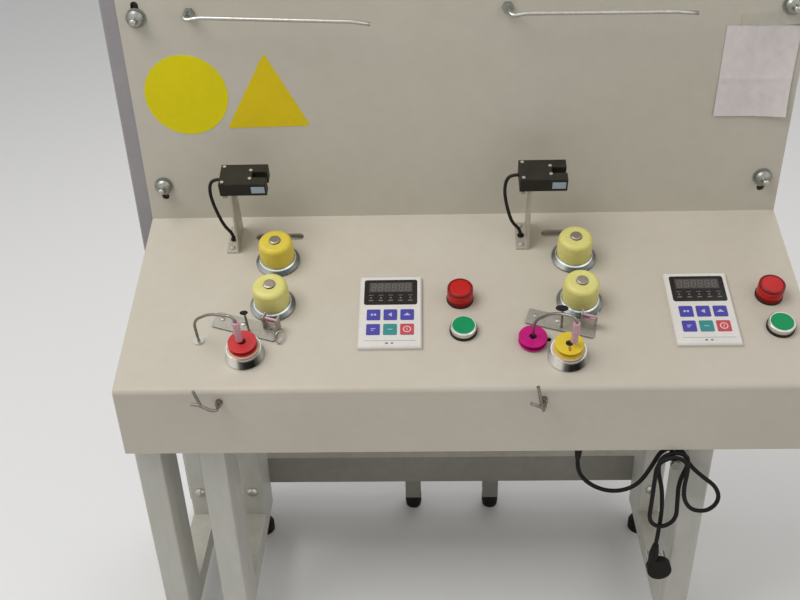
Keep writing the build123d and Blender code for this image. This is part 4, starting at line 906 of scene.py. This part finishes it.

# ---- painted shade: dark discs down the bores of the bobbins; and a streak on the yellow one's flange
bores = {
    "radius": 0.0041, "turns": 32, "floor": 0.0212, "finish": {"left": "boreRed", "right": "blackPlastic"},
    "spareSpot": (0.0742, 0.0634, 0.0), "spareFloor": 0.0072, "wire": 0.0018,
    "flange": 0.0235, "streak": (-0.0004, -0.0078, 0.0017, 0.0038), "streakTurns": 24, "streakRise": 0.00006,
}


def makeBores(s):
    for side in stations:
        centre = onDesk((*axisSpots[side + "_spindle_cup"], 0.0))
        plug = [(0.0, s["floor"], 0), (s["radius"], s["floor"], 0)]
        lathePiece(side + "BoreShade", plug, centre, s["finish"][side], side + "_spindle", s["turns"])
    spare = [(s["wire"], s["spareFloor"], 0), (s["radius"], s["spareFloor"], 0)]
    lathePiece("spareBoreShade", spare, onDesk(s["spareSpot"]), "blackPlastic", turns=s["turns"])
    x, y, width, length = s["streak"]
    outline = disc(0.0, 0.0, 1.0, s["streakTurns"]) * (width, length) + (x, y)
    points, faces = slab(outline, s["flange"], s["flange"] + s["streakRise"])
    spot = np.array((*axisSpots["right_spindle_cup"], 0.0))
    newPiece("bobbinStreak", onDesk(points + spot), faces, "streak", "right_spindle", smooth=False)


makeBores(bores)
print("stage: bobbins")

# ---- sensors: a plain label on the front of each housing
sensor = {
    "front": 0.21955, "sunk": 0.0001, "proud": 0.00025, "u": 0.0175, "height": 0.0885,
    "label": (0.0155, 0.0095),
}


def makeSensorLabel(side, s):
    u = stations[side] + sensorPlaces[side][0] / 1000.0 + s["u"]
    corners = rectangle(u, s["height"], *s["label"])
    points = [(x, v, h) for v in (s["front"] + s["sunk"], s["front"] - s["proud"]) for x, h in corners]
    faces = gridFaces(2, 4, wrapColumns=True) + [[0, 1, 2, 3], [7, 6, 5, 4]]
    newPiece(side + "SensorLabel", onDesk(points), faces, "blueLabel", smooth=False)


for sideName in stations:
    makeSensorLabel(sideName, sensor)
print("stage: sensors")

# ---- panel: studs through the nuts, and painted shade: dark plates behind the keyholes
panelNuts = {
    "x": 0.362, "heights": ((0.045, -1), (0.253, 1)), "radius": 0.0038, "out": (0.0085, 0.0185), "rings": 12,
    "thread": 0.07, "tip": 0.8, "sides": 20, "plate": (0.024, 0.034, -0.0078, -0.0063), "shift": 0.006,
}


def makePanelNuts(s):
    studs, shadePlates = [], []
    thread = s["radius"] * (1.0 - s["thread"] * (np.arange(s["rings"]) % 2))
    thread[-1] *= s["tip"]
    for x in (-s["x"], s["x"]):
        for height, way in s["heights"]:
            line = onPanel([(x, height, out) for out in np.linspace(*s["out"], s["rings"])])
            studs.append(tubeGrid(line, thread, (1.0, 0.0, 0.0), s["sides"]))
            shadePlates.append(box(x, height + way * s["shift"], *s["plate"]))
    joined("panelStuds", studs, "brightSteel", smooth=True)
    joined("keyholePlates", shadePlates, "motorCoat", onPanel)


makePanelNuts(panelNuts)

# ---- guide rods: bent wires, the left one sagging a little more
# a side has the rod's start and height, its length and sag, its tail and the tail's fall
rods = {
    "radius": 0.0021, "back": -0.006, "middle": 0.006, "out": 0.027, "bend": 0.006, "dip": 0.0018,
    "settle": (0.004, 0.008, 0.012, 0.016), "kink": ((-0.003, -0.0001), (0.0, 0.0), (0.003, 0.0005)),
    "sides": 16,
    "left": (-0.3040, 0.2600, 0.183, 0.0072, 0.021, 0.0032),
    "right": (0.0515, 0.2578, 0.181, 0.0015, 0.021, 0.0016),
}


def makeRods(s):
    parts = []
    out, bend, dip = s["out"], s["bend"], s["dip"]
    quarter = np.linspace(0.0, 0.5 * math.pi, 10)[1:, None]
    for side in stations:
        x, high, length, sag, tail, fall = s[side]
        start = [(x, high, s["back"]), (x, high - 0.1 * dip, s["middle"]), (x, high - 0.2 * dip, out - bend)]
        corner = np.array([x + bend, high, out - bend]) + np.concatenate(
            [-bend * np.cos(quarter), -dip * np.sin(quarter), bend * np.sin(quarter)], 1
        )
        ease = [(x + bend + t, high - dip * (1.0 - t / s["settle"][-1]) ** 2, out) for t in s["settle"]]
        end = [(x + length + t, high - sag - lower, out) for t, lower in (*s["kink"], (tail, fall))]
        line = np.concatenate([start, corner, ease, end])
        parts.append(tubeGrid(onPanel(line), s["radius"], (0.05, 0.3, 1.0), s["sides"]))
    piece = joined("guideRods", parts, "brightSteel", smooth=True)
    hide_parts("guide_rods")


makeRods(rods)
print("stage: panel fittings")

# ---- a thin wire loop by the left tension plate, in millimetres on the desk
loop = {
    "radius": 0.0008, "steps": 90, "sides": 10,
    "points": [
        (-217, 80.5, 6), (-214.5, 76, 8), (-212.5, 71, 6), (-210.5, 66.5, 3.5),
        (-208, 63.5, 2.2), (-204.8, 64.5, 2.6), (-202.6, 69, 4), (-203, 74, 6),
        (-206, 76.5, 7), (-209.5, 75, 6), (-211.5, 71.5, 4.6),
    ],
}


def makeLoop(s):
    line = smoothLine(onDesk(np.array(s["points"]) / 1000.0), s["steps"])
    joined("wireLoop", [tubeGrid(line, s["radius"], (0.0, 0.2, 1.0), s["sides"])], "darkSteel", smooth=True)


makeLoop(loop)

# ---- tension plates: posts with a tilted black disc, and their screws; places in millimetres on the desk
fittings = {
    # foot and top of the post, middle of the disc
    "left": ((-242.6, 82.0, 2.0), (-243.6, 82.6, 31.0), (-244.2, 82.6, 31.0)),
    "right": ((107.6, 82.0, 2.0), (106.6, 82.8, 31.0), (105.9, 83.4, 31.6)),
    "discRadius": {"left": 0.0046, "right": 0.0072},
    "tilt": math.radians(-24.0), "thick": 0.0016, "postRadius": 0.0014, "postSides": 14,
    "plate": {"left": (-246.5, 88.0), "right": (107.5, 88.0)}, "turn": math.radians(-17.5),
    "screws": ((-29.5, 2.0, "galvanised"), (-4.0, 2.0, "brightSteel")), "screwTurns": 24,
    "head": ((0.0, 0.0020, 0), (0.0028, 0.0020, 0), (0.0028, 0.0034, 0.0006), (0.0, 0.0040, 0)),
}


def makeFittings(s):
    cosTurn, sinTurn = math.cos(s["turn"]), math.sin(s["turn"])
    cosTilt, sinTilt = math.cos(s["tilt"]), math.sin(s["tilt"])
    tilted = np.array([deskRight, cosTilt * deskUp + sinTilt * deskOut, cosTilt * deskOut - sinTilt * deskUp])
    posts, discs = [], []
    for side in stations:
        foot, top, spot = onDesk(np.array(s[side]) / 1000.0)
        line = foot + np.linspace(0.0, 1.0, 6)[:, None] * (top - foot)
        posts.append(tubeGrid(line, s["postRadius"], (0.0, 1.0, 0.0), s["postSides"]))
        r, thick = s["discRadius"][side], s["thick"]
        edge = [
            (0.0, 0.0, 0), (0.9 * r, 0.0, 0), (r, 0.4 * thick, 0.0003), (0.92 * r, thick, 0.0003),
            (0.0, 1.2 * thick, 0),
        ]
        discs.append(lathePiece(side + "FeltDisc", edge, spot, "blackFelt", axes=tilted))
        plateU, plateV = s["plate"][side]
        for k, (x, y, finish) in enumerate(s["screws"]):
            u = plateU + x * cosTurn - y * sinTurn
            v = plateV + x * sinTurn + y * cosTurn
            spot = onDesk((u / 1000.0, v / 1000.0, 0.0))
            screw = lathePiece(side + "PlateScrew" + str(k), s["head"], spot, finish, turns=s["screwTurns"])
            if k == 0 and side == "left":
                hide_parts("plate_fittings")
    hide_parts("felt_washers")
    joined("discPosts", posts, "darkSteel", smooth=True)


makeFittings(fittings)

# ---- desk: painted shade, black discs below the two small spare holes; and guard plates below the slots
spareHoles = {
    "u": -0.0175, "v": 0.066, "radius": 0.0055, "turns": 20, "depth": (-0.0045, -0.0035),
    "slots": {"left": 0.020, "right": 0.0155}, "slotV": 0.231, "guard": (0.070, 0.020, -0.0100, -0.0090),
}


def makeHoleShadesAndGuards(s):
    shadeDiscs = [slab(disc(u + s["u"], s["v"], s["radius"], s["turns"]), *s["depth"]) for u in stations.values()]
    joined("holeCaps", shadeDiscs, "blackPlastic", onDesk)
    guards = [box(stations[side] + shift, s["slotV"], *s["guard"]) for side, shift in s["slots"].items()]
    joined("slotGuards", guards, "deskCoat", onDesk)


makeHoleShadesAndGuards(spareHoles)

# ---- power cord: a ribbed taper where it leaves the flange, in millimetres from the desk's corner
relief = {
    "x": 127.0, "back": 15.0, "top": -92.0, "tip": -112.0, "radii": (4.6, 3.0), "ribs": 7, "rib": 0.35,
    "ribSteps": 8, "ribEdge": 3.0, "sides": 28,
}


def makeRelief(s):
    height = np.linspace(s["top"], s["tip"], s["ribSteps"] * s["ribs"])
    share = (s["top"] - height) / (s["top"] - s["tip"])
    rib = s["rib"] * np.clip(np.sin(2.0 * math.pi * s["ribs"] * share) * s["ribEdge"], -1.0, 1.0)
    radius = (s["radii"][0] + (s["radii"][1] - s["radii"][0]) * share + rib) / 1000.0
    line = deskCorner + np.array([(s["x"], s["back"], h) for h in height]) / 1000.0
    joined("cordRelief", [tubeGrid(line, radius, (1.0, 0.0, 0.0), s["sides"])], "blackRubber", smooth=True)


makeRelief(relief)
print("stage: small wires")

# ---- floor, light and world; a light has its place, size, power and colour
studio = {
    "reach": 6.0, "floorColour": (0.86, 0.86, 0.86, 1.0), "floorRough": 0.9, "world": 0.39,
    "aim": (0.0, 0.0, 0.45),
    "lights": (
        ("keyLight", (-1.0, -0.45, 2.3), 1.3, 27.0, (1.0, 0.99, 0.97)),
        ("fillLight", (1.5, -0.8, 1.8), 1.6, 6.0, (1.0, 0.93, 0.84)),
        ("backLight", (0.4, 1.4, 2.0), 1.4, 7.0, (1.0, 0.97, 0.93)),
    ),
}


def whiteToCamera(tree):
    # the camera, mirrors and glass see plain white; everything else sees the shader
    path = addNode(tree, "ShaderNodeLightPath").outputs
    seen = mathNode(tree, "MAXIMUM", path["Is Camera Ray"], path["Is Glossy Ray"])
    return mathNode(tree, "MAXIMUM", seen, path["Is Transmission Ray"])


def makeStudio(s):
    floorMesh = bpy.data.meshes.new("floor")
    corners = rectangle(0.0, 0.0, 2.0 * s["reach"], 2.0 * s["reach"])
    floorMesh.from_pydata([(x, y, 0.0) for x, y in corners], [], [(0, 1, 2, 3)])
    floor = newObject("floor", floorMesh)
    material = bpy.data.materials.new("floorPale")
    material.use_nodes = True
    shader = material.node_tree.nodes["Principled BSDF"]
    shader.inputs["Base Color"].default_value = s["floorColour"]
    shader.inputs["Roughness"].default_value = s["floorRough"]
    floorMesh.materials.append(material)

    world = bpy.data.worlds.new("world")
    bpy.context.scene.world = world
    world.use_nodes = True
    tree = world.node_tree
    tree.nodes.clear()
    mix = addNode(tree, "ShaderNodeMixShader", Fac=whiteToCamera(tree))
    for socket, strength in zip(mix.inputs[1:], (s["world"], 1.0)):
        white = addNode(tree, "ShaderNodeBackground", Strength=strength, Color=(1.0, 1.0, 1.0, 1.0))
        feed(tree, white.outputs[0], socket)
    addNode(tree, "ShaderNodeOutputWorld", Surface=mix.outputs[0])

    for name, place, size, power, colour in s["lights"]:
        data = bpy.data.lights.new(name, "AREA")
        data.size = size
        data.energy = power
        data.color = colour
        light = newObject(name, data)
        toward = np.array(s["aim"]) - np.array(place)
        toward /= np.linalg.norm(toward)
        right = np.cross(toward, [0.0, 0.0, 1.0])
        right /= np.linalg.norm(right)
        light.matrix_world = facing(place, right, np.cross(right, toward), toward)
    bpy.context.scene.view_settings.view_transform = "Standard"


makeStudio(studio)
print("stage: floor and light")
